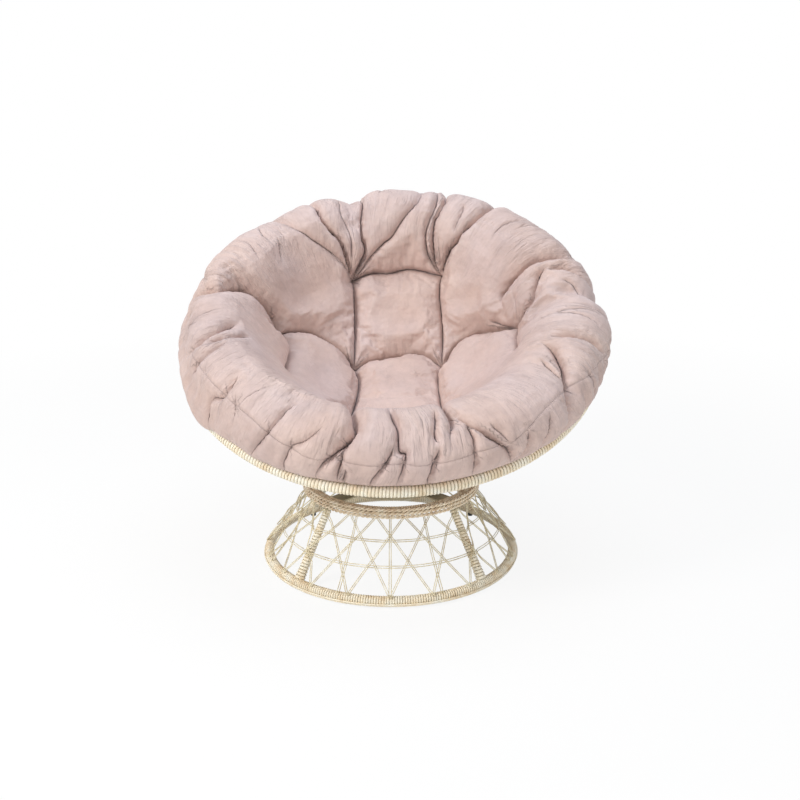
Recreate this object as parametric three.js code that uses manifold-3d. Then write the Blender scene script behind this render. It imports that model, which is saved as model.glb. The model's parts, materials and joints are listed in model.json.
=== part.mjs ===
// Papasan chair: a flared open-weave base, a swivel, a tilted round bowl and a tufted cushion.
// Millimetres, +Z up. The front of the chair faces -Y.
import * as THREE from 'three';
import { mergeVertices } from 'three/addons/utils/BufferGeometryUtils.js';
import Module from 'manifold-3d';

const wasm = await Module();
wasm.setup();

// Clearance between pieces that seat on each other
const fitGap = 0.3;

// Base frame
const footRadius = 314; // middle of the foot ring's tube
const topRadius = 204; // middle of the top ring's tube
const topHeight = 193; // middle of the top ring above the floor
const ringTube = 9.5; // tube radius of both base rings
const ringWrap = 2; // strand wound round the base rings
const legTube = 8;
const legWrap = 2;
const legAngles = [45, 135, 225, 315];
const legNames = ['back_right', 'back_left', 'front_left', 'front_right'];
const glideHeight = 3.7; // from the floor to the wound foot ring
const glideRadius = 7;
const glideInset = 3; // glide centres inside the foot ring's own line
const glideGrip = 4; // how far a glide reaches up round the ring
const borderStrand = 2.2; // radius of the two strands along the foot ring
const courseHeight = 9; // one of the three flat courses round the top ring
const courseDepth = 8;

// Base lattice
const pairWidth = 7; // a pair of strands side by side
const strandThick = 2.6;
const lowSeatAngle = 50; // where strands meet the rings' windings, up from straight out
const highSeatAngle = -60;
const latticeCount = 20; // anchors on each ring
const latticeReachShare = 1.5; // a strand crosses this many anchor spaces
const seatSpan = 0.8; // room on the rings for the net's straight steps
const hoopShares = [0.36, 0.68]; // hoops, from the foot ring up
const uprightAngles = [-22.5, 0, 22.5];

// Cross bars and swivel
const crossWidth = 40;
const crossThick = 4;
const plateSide = 150;
const plateThick = 2.5;
const plateCorner = 12;
const ballRadius = 2.6;
const ballCount = 8;
const raceRadius = 50;
const cageWidth = 7;
const cageThick = 2.2;
const pinRadius = 8;
const pinHead = 11;
const pinHeadThick = 2.5;
const boltRadius = 3;
const boltHead = 5.5;
const boltHeadThick = 3;
const lowerBoltCircle = 90;
const upperBoltCircle = 73;

// Cradle under the bowl
const cradleRadius = 140;
const cradleTube = 8;
const cradleForward = 40; // cradle centre ahead of the swivel's axis
const saddleBite = 0.8; // depth of the ribs' saddles in the cradle ring

// Bowl
const rimRadius = 520; // middle of the rim's tube
const bowlDepth = 280;
const bowlTilt = 25.5; // degrees, leaning back
const rimTube = 11;
const rimWrap = 2.2;
const ribTube = 6.5;
const ribAngles = [22.5, 67.5, 112.5, 157.5, 202.5, 247.5, 292.5, 337.5];
const floorRingRadius = 110; // small ring at the bottom of the bowl
const floorRingTube = 8;
const hoopTube = 5;
const hoopShare = 0.6; // hoop's place along a rib, from the small ring to the rim
const bowlStrandCount = 12;
const bowlStrandTurn = 60; // degrees that a strand winds from ring to rim
const sides = ['right', 'back', 'left', 'front'];

// Cushion, whose shares are of the rim's radius
const cushionShift = 18; // the roll lies to the right of the bowl's middle
const backSwellShare = 0.34; // the roll is this much taller at the back
const tuftDepth = 42;
const tuftReach = 62;
const gatherDepth = 4; // folds round the gathered edge
const cushionSpan = 3.2; // how far the net's straight steps stand inside its curve
const crownShares = [
  [0, -0.27], [0.2, -0.25], [0.38, -0.18], [0.52, -0.07], [0.62, 0.045], [0.7, 0.145], [0.78, 0.215],
  [0.87, 0.25], [0.95, 0.235], [1.01, 0.18], [1.035, 0.11], [1.028, 0.055],
];
const rimSeatShares = [[0.6, 1], [-0.6, 1], [-1.3, 0.45]]; // of the rim's wound radius
const tuftShares = [
  [-0.195, 0.54], [0.245, 0.55], [0.6, 0.1], [-0.53, 0.14],
  [-0.18, 0.13], [0.25, 0.11], [-0.19, -0.33], [0.26, -0.36],
];

// Facets
const rimSteps = 40;
const footSteps = 32;
const topSteps = 24;
const smallSteps = 20;
const hoopSteps = 30;
const tubeSides = 8;
const pinSides = 24; // round enough to turn freely in its bores
const boreSides = 6;
const strandSides = 4;
const ribSteps = 7;
const netSag = 3; // a net's straight steps stand off its curve by no more
const bowShare = 0.02;
const relaxPasses = 60;
const looseAngle = 0.001;
const cushionSteps = 36;
const crownSteps = 14;
const underSteps = 5;

// Worked-out sizes
const rad = THREE.MathUtils.degToRad;
const ringWound = ringTube + fitGap + ringWrap;
const legWound = legTube + fitGap + legWrap;
const rimWound = rimTube + fitGap + rimWrap;
const footHeight = glideHeight + ringWound;
const crossTop = topHeight + crossThick / 2;
const lowerPlateBase = crossTop + fitGap;
const plateGap = 2 * (ballRadius + fitGap);
const upperPlateBase = lowerPlateBase + plateThick + plateGap;
const bracketBase = upperPlateBase + plateThick + fitGap;
const cradleHeight = bracketBase + crossThick + fitGap + cradleTube;
const sphereRadius = (rimRadius ** 2 + bowlDepth ** 2) / (2 * bowlDepth);
const sphereOffset = sphereRadius - bowlDepth; // sphere's centre above the rim's plane
const cradleReach = sphereRadius + ribTube + cradleTube - saddleBite;
const sphereCentre = new THREE.Vector3(
  0, -cradleForward, cradleHeight + Math.sqrt(cradleReach ** 2 - cradleRadius ** 2));
const tilt = rad(bowlTilt);
const bowlAxis = new THREE.Vector3(0, -Math.sin(tilt), Math.cos(tilt));
const rimCentre = sphereCentre.clone().addScaledVector(bowlAxis, -sphereOffset);
const rimPolar = Math.asin(rimRadius / sphereRadius);
const floorPolar = Math.asin(floorRingRadius / sphereRadius);
const hoopPolar = floorPolar + (rimPolar - floorPolar) * hoopShare;
const hoopSphere = sphereRadius - ribTube - hoopTube + saddleBite;
const hoopSpan = hoopSphere * (1 - Math.cos(Math.PI / hoopSteps)); // its steps stand inside its curve
const netSphere = hoopSphere - hoopSpan - hoopTube - strandThick / 2 - fitGap;
const cushionSphere = netSphere - strandThick / 2 - cushionSpan - fitGap;

// Materials
const finish = (color, roughness, metalness) =>
  new THREE.MeshStandardMaterial({ color, roughness, metalness });
const steel = finish(0x6f675c, 0.5, 0.6);
const zinc = finish(0xb4b4b2, 0.35, 0.9);
const wicker = finish(0xd8c193, 0.62, 0);
const nylon = finish(0x2b2a28, 0.6, 0);
const fabric = finish(0xc8afa5, 0.9, 0);

// Solids are joined and cut as manifolds and handed back as meshes.
function solid(geometry) {
  const bare = geometry.index ? geometry.toNonIndexed() : geometry.clone();
  bare.deleteAttribute('normal');
  bare.deleteAttribute('uv');
  const merged = mergeVertices(bare, 1e-3);
  return new wasm.Manifold(new wasm.Mesh({
    numProp: 3,
    vertProperties: new Float32Array(merged.attributes.position.array),
    triVerts: new Uint32Array(merged.index.array),
  }));
}

function shape(body) {
  const mesh = body.getMesh();
  const geometry = new THREE.BufferGeometry();
  geometry.setAttribute('position', new THREE.BufferAttribute(mesh.vertProperties, 3));
  geometry.setIndex(new THREE.BufferAttribute(mesh.triVerts, 1));
  return geometry;
}

const cut = (body, ...tools) => tools.reduce((rest, tool) => rest.subtract(tool), body);
const join = (bodies) => bodies.reduce((sum, body) => sum.add(body));

function spot(radius, degrees, height) {
  return new THREE.Vector3(radius * Math.cos(rad(degrees)), radius * Math.sin(rad(degrees)), height);
}

// Closed profile turned about Z; a profile that starts and ends on the axis makes a plug.
function turned(points, steps) {
  const profile = points.map(([x, y]) => new THREE.Vector2(x, y));
  return new THREE.LatheGeometry(profile, steps).rotateX(Math.PI / 2);
}

function roundSection(radius, sides, turn = 0) {
  const section = [];
  for (let i = 0; i <= sides; i++) {
    const angle = (2 * Math.PI * (i % sides)) / sides + turn;
    section.push([radius * Math.cos(angle), radius * Math.sin(angle)]);
  }
  return section;
}

function ring(radius, height, tube, sides, steps, turn = 0) {
  const section = roundSection(tube, sides, turn);
  return solid(turned(section.map(([x, y]) => [radius + x, height + y]), steps));
}

// A bore and the core in it share their corners, so the gap between their flats is even.
const boreGap = fitGap / Math.cos(Math.PI / boreSides);

// Straight bar between two points
function bar(from, to, radius, sides) {
  const along = to.clone().sub(from);
  const rod = new THREE.CylinderGeometry(radius, radius, along.length(), sides);
  const turn = new THREE.Quaternion().setFromUnitVectors(new THREE.Vector3(0, 1, 0), along.clone().normalize());
  rod.applyQuaternion(turn);
  const middle = from.clone().add(to).multiplyScalar(1 / 2);
  return solid(rod.translate(middle.x, middle.y, middle.z));
}

// Tube swept along a curve, with flat ends
function swept(curve, radius, sides, steps) {
  const section = new THREE.Shape(roundSection(radius, sides).slice(0, sides)
    .map(([x, y]) => new THREE.Vector2(x, y)));
  return solid(new THREE.ExtrudeGeometry(section, { steps, extrudePath: curve, bevelEnabled: false }));
}

// Curve given by a function of the way along it
class Route extends THREE.Curve {
  constructor(place) {
    super();
    this.place = place;
  }

  getPoint(t, target = new THREE.Vector3()) {
    return target.copy(this.place(t));
  }

  getPointAt(t, target) {
    return this.getPoint(t, target);
  }
}

function disc(radius, low, high, steps) {
  return solid(turned([[0, low], [radius, low], [radius, high], [0, high]], steps));
}

function block(size, middle, degrees) {
  const box = new THREE.BoxGeometry(size.x, size.y, size.z).translate(middle.x, middle.y, middle.z);
  return solid(box.rotateZ(rad(degrees)));
}

// Base rings, and the room that they need in the pieces on them
const footCore = (grow) => ring(footRadius, footHeight, ringTube + grow, boreSides, footSteps);
const topCore = (grow) => ring(topRadius, topHeight, ringTube + grow, boreSides, topSteps);
const footSkin = (grow) => ring(footRadius, footHeight, ringWound + grow, tubeSides, footSteps);
const topSkin = (grow) => ring(topRadius, topHeight, ringWound + grow, tubeSides, topSteps);

function bandSolid(grow) {
  const inner = topRadius + ringWound + fitGap - grow;
  const half = courseHeight / 2;
  const profile = [[inner, -3 * half - grow]];
  for (const course of [-1, 0, 1]) {
    for (const lean of [-1, 0, 1]) {
      const out = Math.cos((lean * Math.PI) / 3) * courseDepth;
      profile.push([inner + out + 2 * grow, course * courseHeight + lean * (half * Math.sin(Math.PI / 3) + grow)]);
    }
  }
  profile.push([inner, 3 * half + grow], profile[0]);
  return solid(turned(profile.map(([x, y]) => [x, topHeight + y]), topSteps));
}

// Legs run from the middle of the foot ring's tube to the middle of the top ring's.
const legLine = (angle) => [spot(footRadius, angle, footHeight), spot(topRadius, angle, topHeight)];
const legCore = (angle, grow) => bar(...legLine(angle), legTube + grow, boreSides);
const legSkin = (angle, grow) => bar(...legLine(angle), legWound + grow, tubeSides);

// Cross bars lie in the top ring's plane, one whole and two that meet it.
const barSize = (grow) =>
  new THREE.Vector3(2 * topRadius, crossWidth + 2 * grow, crossThick + 2 * grow);
const barMiddle = new THREE.Vector3(0, 0, topHeight);
const crossBar = (degrees, grow) => block(barSize(grow), barMiddle, degrees);

const baseParts = [];
const bowlParts = [];
const cradleParts = [];
const add = (list, name, body, material) => list.push({ name, geometry: shape(body), material });

// Foot ring with its winding and the two strands along its outer edge
const legHoles = legAngles.map((angle) => legCore(angle, fitGap));
add(baseParts, 'foot_ring', footCore(0), steel);
add(baseParts, 'foot_ring_wrap', cut(footSkin(0), footCore(boreGap), ...legHoles), wicker);
const flatRadius = ringWound * Math.cos(Math.PI / tubeSides);
for (const [name, degrees, seat] of [['upper', -22.5, flatRadius], ['lower', -45, ringWound]]) {
  const out = spot(seat + fitGap + borderStrand, degrees, 0);
  const border = ring(footRadius + out.x, footHeight + out.y, borderStrand, strandSides, footSteps);
  add(baseParts, `foot_border_${name}`, border, wicker);
}

// Top ring with its winding, which the legs and cross bars pass through, and its flat courses
const barHoles = [crossBar(legAngles[0], fitGap), crossBar(legAngles[1], fitGap)];
add(baseParts, 'top_ring', topCore(0), steel);
add(baseParts, 'top_ring_wrap', cut(topSkin(0), topCore(boreGap), ...legHoles, ...barHoles), wicker);
add(baseParts, 'top_ring_band', bandSolid(0), wicker);

// Legs, whose windings end under the band
const bandRoom = bandSolid(fitGap);
const bandLow = topHeight - 1.5 * courseHeight - fitGap;
const aboveBand = disc(footRadius, bandLow, 2 * topHeight, tubeSides);
legAngles.forEach((angle, i) => {
  const core = cut(legCore(angle, 0), footCore(boreGap), topCore(boreGap), bandRoom);
  const sleeve = cut(legSkin(angle, 0), legCore(angle, fitGap), footSkin(fitGap), aboveBand);
  add(baseParts, `leg_${legNames[i]}`, core, steel);
  add(baseParts, `leg_wrap_${legNames[i]}`, sleeve, wicker);
});

// Glides under the foot ring at the legs
legAngles.forEach((angle, i) => {
  const at = spot(footRadius - glideInset, angle, 0);
  const plug = new THREE.CylinderGeometry(glideRadius, glideRadius, glideHeight + glideGrip, tubeSides + 4);
  plug.rotateX(Math.PI / 2).translate(at.x, at.y, (glideHeight + glideGrip) / 2);
  add(baseParts, `glide_${legNames[i]}`, cut(solid(plug), footSkin(fitGap)), nylon);
});

// Cross bars
const ringRoom = topCore(boreGap);
const wholeBar = cut(crossBar(legAngles[0], 0), ringRoom);
const endBar = cut(crossBar(legAngles[1], 0), ringRoom, crossBar(legAngles[0], fitGap));

// Nets are sheets cut between crossing bands. Each band stands for a pair of strands side by side.
// A field is laid out flat, in millimetres, the bands part it into cells, and the sheet with the
// cells cut out of it is bent onto its surface. A band is where across * x + along * y = at.
function clip(cell, across, along, limit) {
  const kept = [];
  cell.forEach((from, i) => {
    const to = cell[(i + 1) % cell.length];
    const here = across * from.x + along * from.y - limit;
    const there = across * to.x + along * to.y - limit;
    if (here <= 0) kept.push(from);
    if (here * there < 0) kept.push(from.clone().lerp(to, here / (here - there)));
  });
  return kept.filter((point, i) => point.distanceTo(kept[(i + 1) % kept.length]) > fitGap);
}

function cellsBetween(field, bands) {
  let cells = [field];
  for (const { across, along, at } of bands) {
    const half = (pairWidth / 2) * Math.hypot(across, along);
    cells = cells.flatMap((cell) => [
      clip(cell, across, along, at - half),
      clip(cell, -across, -along, -at - half),
    ]);
    cells = cells.filter((cell) => cell.length > 2 && Math.abs(THREE.ShapeUtils.area(cell)) > pairWidth ** 2);
  }
  return cells;
}

// Points along a loop's edges, so that they bend with the surface
function stepped(loop, surface) {
  const bent = ({ x, y }) => surface(x, y, 0);
  return loop.flatMap((from, i) => {
    const to = loop[(i + 1) % loop.length];
    const bulge = bent(from.clone().lerp(to, 1 / 2)).distanceTo(bent(from).lerp(bent(to), 1 / 2));
    const steps = Math.max(1, Math.ceil(Math.sqrt(bulge / netSag)));
    return Array.from({ length: steps }, (_, step) => from.clone().lerp(to, step / steps));
  });
}

// Faces that share an edge trade it for the other way across while that gives better corners.
function relax(faces, flat, bent) {
  const corner = (at, from, to) => bent[from].clone().sub(bent[at]).angleTo(bent[to].clone().sub(bent[at]));
  const opens = (...face) => THREE.ShapeUtils.area(face.map((i) => flat[i])) > 0;
  for (let pass = 0; pass < relaxPasses; pass++) {
    const owners = new Map();
    faces.forEach((face, owner) => face.forEach((from, i) => {
      owners.set(`${from} ${face[(i + 1) % 3]}`, { owner, from, to: face[(i + 1) % 3], tip: face[(i + 2) % 3] });
    }));
    const settled = new Set();
    for (const here of owners.values()) {
      const there = owners.get(`${here.to} ${here.from}`);
      if (!there || settled.has(here.owner) || settled.has(there.owner)) continue;
      const wide = corner(here.tip, here.from, here.to) + corner(there.tip, here.from, here.to);
      const first = [here.from, there.tip, here.tip];
      const second = [there.tip, here.to, here.tip];
      if (wide <= Math.PI + looseAngle || !opens(...first) || !opens(...second)) continue;
      faces[here.owner] = first;
      faces[there.owner] = second;
      settled.add(here.owner).add(there.owner);
    }
    if (!settled.size) break;
  }
}

// The flat faces are found on a copy whose edges bow inward, so that no three corners lie in line.
function netGeometry(loops, height, surface) {
  const bow = bowShare / height ** 2;
  const bowed = loops.map((loop) => loop.map(({ x, y }) => {
    const rise = y - height / 2;
    return new THREE.Vector2(x * (1 + bow * rise * rise), rise * (1 + bow * x * x));
  }));
  const corners = loops.flat();
  const count = corners.length;
  const flat = bowed.flat();
  const faces = THREE.ShapeUtils.triangulateShape(bowed[0], bowed.slice(1)).map((face) =>
    (THREE.ShapeUtils.area(face.map((i) => flat[i])) > 0 ? face : face.toReversed()));
  relax(faces, flat, corners.map(({ x, y }) => surface(x, y, 0)));
  const index = faces.flatMap(([a, b, c]) => [a + count, b + count, c + count, a, c, b]);
  let first = 0;
  for (const loop of loops) {
    for (let i = 0; i < loop.length; i++) {
      const a = first + i;
      const b = first + ((i + 1) % loop.length);
      index.push(a, b, b + count, a, b + count, a + count);
    }
    first += loop.length;
  }
  const points = [-strandThick / 2, strandThick / 2].flatMap((depth) =>
    corners.map(({ x, y }) => surface(x, y, depth)));
  return new THREE.BufferGeometry().setFromPoints(points).setIndex(index);
}

function bentNet(lowHalf, highHalf, height, bands, surface) {
  const outline = (inset) => [
    new THREE.Vector2(inset - lowHalf, inset), new THREE.Vector2(lowHalf - inset, inset),
    new THREE.Vector2(highHalf - inset, height - inset), new THREE.Vector2(inset - highHalf, height - inset),
  ];
  const cells = cellsBetween(outline(pairWidth / 2), bands).map((cell) => cell.toReversed());
  return solid(netGeometry([outline(0), ...cells].map((loop) => stepped(loop, surface)), height, surface));
}

// Base lattice: taut diagonals of both hands lie on one waisted surface between the rings.
// Laid out by the angle that a diagonal has turned, they are straight, as the hoops and uprights are.
const seatReach = ringWound + fitGap + seatSpan + strandThick / 2;
const lowSeat = spot(seatReach, lowSeatAngle, 0);
const highSeat = spot(seatReach, highSeatAngle, 0);
const lowEnd = { radius: footRadius + lowSeat.x, height: footHeight + lowSeat.y };
const highEnd = { radius: topRadius + highSeat.x, height: topHeight + highSeat.y };
const netSlant = Math.hypot(lowEnd.radius - highEnd.radius, highEnd.height - lowEnd.height);
const netLean = Math.atan2(lowEnd.radius - highEnd.radius, highEnd.height - lowEnd.height);
const anchorStep = (2 * Math.PI) / latticeCount;
const fullTurn = anchorStep * latticeReachShare;
const meanRadius = (lowEnd.radius + highEnd.radius) / 2;

// Angle turned at a share of a diagonal's length, and the share at an angle
function turnAt(share) {
  const across = share * highEnd.radius * Math.sin(fullTurn);
  return Math.atan2(across, (1 - share) * lowEnd.radius + share * highEnd.radius * Math.cos(fullTurn));
}

function shareAt(turn) {
  const rise = lowEnd.radius * Math.tan(turn);
  return rise / (highEnd.radius * Math.sin(fullTurn) + rise - highEnd.radius * Math.cos(fullTurn) * Math.tan(turn));
}

function onWaist(x, y, depth, middleAngle) {
  const turn = (y / netSlant) * fullTurn;
  const share = shareAt(turn);
  const across = share * highEnd.radius * Math.sin(fullTurn);
  const along = (1 - share) * lowEnd.radius + share * highEnd.radius * Math.cos(fullTurn);
  const radius = Math.hypot(across, along) + depth * Math.cos(netLean);
  const height = lowEnd.height + (highEnd.height - lowEnd.height) * share + depth * Math.sin(netLean);
  const angle = x / meanRadius + middleAngle;
  return new THREE.Vector3(radius * Math.cos(angle), radius * Math.sin(angle), height);
}

function latticeBands() {
  const bands = [];
  const slope = (fullTurn * meanRadius) / netSlant;
  for (let i = -latticeCount / 2; i < latticeCount / 2; i++) {
    const at = i * anchorStep * meanRadius;
    bands.push({ across: 1, along: slope, at }, { across: 1, along: -slope, at });
  }
  for (const share of hoopShares) {
    bands.push({ across: 0, along: 1, at: (turnAt(share) / fullTurn) * netSlant });
  }
  for (const angle of uprightAngles) bands.push({ across: 1, along: 0, at: rad(angle) * meanRadius });
  return bands;
}

const legRoom = legWound + 2 * fitGap;
const lowHalf = (Math.PI / 4 - legRoom / lowEnd.radius) * meanRadius;
const highHalf = (Math.PI / 4 - legRoom / highEnd.radius) * meanRadius;
sides.forEach((side, i) => {
  // Diagonals are counted from the chair's own axis, so every second panel starts half a step on.
  const middleAngle = (i * Math.PI) / 2;
  const shift = (middleAngle % anchorStep) * meanRadius;
  const bands = latticeBands().map((band) => (band.along && band.across ? { ...band, at: band.at - shift } : band));
  const surface = (x, y, depth) => onWaist(x, y, depth, middleAngle);
  add(baseParts, `lattice_${side}`, bentNet(lowHalf, highHalf, netSlant, bands, surface), wicker);
});

// Swivel: two pressed plates on a ring of balls, held by a hollow pin
function plate(low, holes) {
  const half = plateSide / 2;
  const outline = new THREE.Shape();
  outline.moveTo(half - plateCorner, -half);
  outline.absarc(half - plateCorner, plateCorner - half, plateCorner, -Math.PI / 2, 0);
  outline.absarc(half - plateCorner, half - plateCorner, plateCorner, 0, Math.PI / 2);
  outline.absarc(plateCorner - half, half - plateCorner, plateCorner, Math.PI / 2, Math.PI);
  outline.absarc(plateCorner - half, plateCorner - half, plateCorner, Math.PI, 1.5 * Math.PI);
  const sheet = new THREE.ExtrudeGeometry(outline, { depth: plateThick, bevelEnabled: false, curveSegments: 2 });
  return cut(solid(sheet.translate(0, 0, low)), ...holes);
}

// Bolt with its head at one end and its nut at the other
function bolt(angle, circle, low, high) {
  const profile = [
    [0, low - boltHeadThick], [boltHead, low - boltHeadThick], [boltHead, low], [boltRadius, low],
    [boltRadius, high], [boltHead, high], [boltHead, high + boltHeadThick], [0, high + boltHeadThick],
  ];
  const at = spot(circle, angle, 0);
  return solid(turned(profile, boreSides).translate(at.x, at.y, 0));
}

const boltHole = (angle, circle) => {
  const at = spot(circle, angle, 0);
  return disc(boltRadius + fitGap, 0, 2 * topHeight, boreSides).translate(at.x, at.y, 0);
};
const lowerHoles = legAngles.map((angle) => boltHole(angle, lowerBoltCircle));
const pinHole = disc(pinRadius + fitGap, 0, 2 * topHeight, pinSides);
const shortBars = cut(endBar, ...lowerHoles).decompose();
add(baseParts, 'cross_bar_long', cut(wholeBar, ...lowerHoles, pinHole), steel);
for (const piece of shortBars) {
  const side = piece.boundingBox().max[0] > crossWidth ? 'right' : 'left';
  add(baseParts, `cross_bar_short_${side}`, piece, steel);
}
add(baseParts, 'swivel_lower_plate', plate(lowerPlateBase, [pinHole, ...lowerHoles]), zinc);

const cageMiddle = lowerPlateBase + plateThick + plateGap / 2;
const cage = [solid(turned([
  [raceRadius - cageWidth / 2, cageMiddle - cageThick / 2], [raceRadius + cageWidth / 2, cageMiddle - cageThick / 2],
  [raceRadius + cageWidth / 2, cageMiddle + cageThick / 2], [raceRadius - cageWidth / 2, cageMiddle + cageThick / 2],
  [raceRadius - cageWidth / 2, cageMiddle - cageThick / 2],
], 2 * ballCount))];
for (let i = 0; i < ballCount; i++) {
  const at = spot(raceRadius, (360 / ballCount) * i, cageMiddle);
  cage.push(solid(new THREE.OctahedronGeometry(ballRadius, 0).translate(at.x, at.y, at.z)));
}
add(baseParts, 'swivel_ball_cage', join(cage), zinc);

const pinLow = topHeight - crossThick / 2 - fitGap;
const pinHigh = bracketBase + fitGap;
add(baseParts, 'swivel_pin', solid(turned([
  [0, pinLow - pinHeadThick], [pinHead, pinLow - pinHeadThick], [pinHead, pinLow], [pinRadius, pinLow],
  [pinRadius, pinHigh], [pinHead, pinHigh], [pinHead, pinHigh + pinHeadThick], [0, pinHigh + pinHeadThick],
], pinSides)), zinc);
legAngles.forEach((angle, i) => {
  const body = bolt(angle, lowerBoltCircle, topHeight - crossThick / 2 - fitGap, lowerPlateBase + plateThick + fitGap);
  add(baseParts, `swivel_bolt_lower_${legNames[i]}`, body, zinc);
});

// Bowl frame, about the rim's middle with Z along the bowl's axis
function onBowl(radius, polar, degrees) {
  const flat = spot(radius * Math.sin(polar), degrees, 0);
  return flat.setZ(sphereOffset - radius * Math.cos(polar));
}

const rimCore = (grow) => ring(rimRadius, 0, rimTube + grow, boreSides, rimSteps);
const rimSkin = (grow) => ring(rimRadius, 0, rimWound + grow, tubeSides, rimSteps);
const floorPlace = onBowl(sphereRadius, floorPolar, 0);
const floorRing = (grow) => ring(floorPlace.x, floorPlace.z, floorRingTube + grow, tubeSides, smallSteps);
const ribCurve = (angle) => new Route((t) =>
  onBowl(sphereRadius, floorPolar + (rimPolar - floorPolar) * t, angle));
const rib = (angle, grow) => swept(ribCurve(angle), ribTube + grow, boreSides, ribSteps);
const hoopPlace = onBowl(hoopSphere, hoopPolar, 0);
const hoop = (grow) => ring(hoopPlace.x, hoopPlace.z, hoopTube + grow, boreSides, hoopSteps);

const ribRooms = ribAngles.map((angle) => rib(angle, boreGap));
add(bowlParts, 'rim_ring', rimCore(0), steel);
add(bowlParts, 'rim_wrap', cut(rimSkin(0), rimCore(boreGap), ...ribRooms), wicker);
add(bowlParts, 'bowl_floor_ring', floorRing(0), wicker);
add(bowlParts, 'bowl_hoop', cut(hoop(0), ...ribRooms), wicker);
ribAngles.forEach((angle, i) => {
  const body = cut(rib(angle, 0), rimCore(boreGap), floorRing(fitGap));
  add(bowlParts, `bowl_rib_${i + 1}`, body, wicker);
});

// Bowl lattice: pairs of strands that wind both ways from the small ring over the hoop to the rim,
// inside the ribs. A rib's straight steps stand inside its curve by ribSpan.
const ribSpan = sphereRadius * (1 - Math.cos((rimPolar - floorPolar) / ribSteps / 2));
const rimSpan = rimRadius * (1 - Math.cos(Math.PI / rimSteps));
const netDrop = ribTube * Math.cos(Math.PI / boreSides) + ribSpan + strandThick / 2;
const endReach = (tube) => Math.sqrt((tube + strandThick / 2 + fitGap) ** 2 - netDrop ** 2) / sphereRadius;
const netStart = floorPolar + endReach(floorRingTube + netSag);
const netEnd = rimPolar - endReach(rimWound + rimSpan);

function netRadius(polar) {
  const end = polar < hoopPolar ? floorPolar : rimPolar;
  const share = (polar - hoopPolar) / (end - hoopPolar);
  return netSphere + (sphereRadius - netDrop - netSphere) * share * share;
}

const bowlSlant = (netEnd - netStart) * sphereRadius;
const bowlMean = (rimRadius + floorRingRadius) / 2;
const sectorHalf = (Math.PI / 4) * bowlMean;

function onNet(x, y, depth, middleAngle) {
  const polar = netStart + y / sphereRadius;
  const room = (sectorHalf - strandThick / Math.sin(polar)) / sectorHalf; // keeps neighbours apart
  return onBowl(netRadius(polar) + depth, polar, THREE.MathUtils.radToDeg((x / bowlMean) * room + middleAngle));
}

function bowlBands() {
  const bands = [];
  const slope = (rad(bowlStrandTurn) * bowlMean) / bowlSlant;
  for (let i = -bowlStrandCount; i < bowlStrandCount; i++) {
    const at = ((2 * Math.PI) / bowlStrandCount) * (i + 1 / 2) * bowlMean;
    bands.push({ across: 1, along: slope, at }, { across: 1, along: -slope, at });
  }
  return bands;
}

sides.forEach((side, i) => {
  const surface = (x, y, depth) => onNet(x, y, depth, (i * Math.PI) / 2);
  const net = bentNet(sectorHalf, sectorHalf, bowlSlant, bowlBands(), surface);
  add(bowlParts, `bowl_lattice_${side}`, net, wicker);
});

// Swivel's upper plate with the bracket and cradle ring that carry the bowl's ribs
const upperHoles = legAngles.map((angle) => boltHole(angle, upperBoltCircle));
add(cradleParts, 'swivel_upper_plate', plate(upperPlateBase, [pinHole, ...upperHoles]), zinc);
const bracketMiddle = new THREE.Vector3(0, 0, bracketBase + crossThick / 2);
const bracketSize = new THREE.Vector3(4 * cradleRadius, crossWidth, crossThick);
const bracketReach = disc(cradleRadius + cradleTube, 0, 2 * topHeight, smallSteps).translate(0, -cradleForward, 0);
const bracketArms = join([block(bracketSize, bracketMiddle, legAngles[0]), block(bracketSize, bracketMiddle, legAngles[1])]);
const pinRoom = disc(pinHead + fitGap, 0, 2 * topHeight, pinSides);
add(cradleParts, 'cradle_bracket', cut(bracketArms.intersect(bracketReach), pinRoom, ...upperHoles), steel);
const intoChair = new THREE.Matrix4().makeRotationX(tilt).setPosition(rimCentre);
const cradle = ring(cradleRadius, cradleHeight, cradleTube, tubeSides, smallSteps).translate(0, -cradleForward, 0);
add(cradleParts, 'cradle_ring', cut(cradle, ...ribRooms.map((room) => room.transform(intoChair.elements))), steel);
legAngles.forEach((angle, i) => {
  const body = bolt(angle, upperBoltCircle, upperPlateBase - fitGap, bracketBase + crossThick + fitGap);
  add(cradleParts, `swivel_bolt_upper_${legNames[i]}`, body, zinc);
});

// Cushion: a crowned form, thick at its gathered edge, with eight sewn tufts.
// Round the chair, sector 0 faces the front.
const crownCurve = new THREE.SplineCurve(crownShares.map(([x, y]) =>
  new THREE.Vector2(x * rimRadius, y * rimRadius)));
const rimSeat = rimSeatShares.map(([x, y]) =>
  new THREE.Vector2(rimRadius + rimWound * x, (rimWound + fitGap) * y));
const tufts = tuftShares.map(([x, y]) => new THREE.Vector2(x * rimRadius, y * rimRadius));

function crownPoint(radius, height, angle, sector) {
  const back = (1 - Math.cos(angle)) / 2;
  const proud = Math.max(height, 0);
  const edge = THREE.MathUtils.smoothstep(radius, rimRadius * 0.7, rimRadius * 0.9);
  const swell = height + proud * backSwellShare * back * back;
  const fold = edge * gatherDepth * (sector % 2 ? 1 : -1) * THREE.MathUtils.smoothstep(proud, rimWound, 4 * rimWound);
  const out = radius + fold;
  const shift = cushionShift * THREE.MathUtils.smoothstep(proud, rimWound, 6 * rimWound) * edge;
  const x = out * Math.sin(angle) + shift;
  const y = -out * Math.cos(angle);
  const dip = tufts.reduce((sum, tuft) =>
    sum + tuftDepth * Math.exp(-(((x - tuft.x) ** 2 + (y - tuft.y) ** 2) / tuftReach ** 2)), 0);
  return new THREE.Vector3(x, y, swell - dip * (1 - edge));
}

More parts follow.
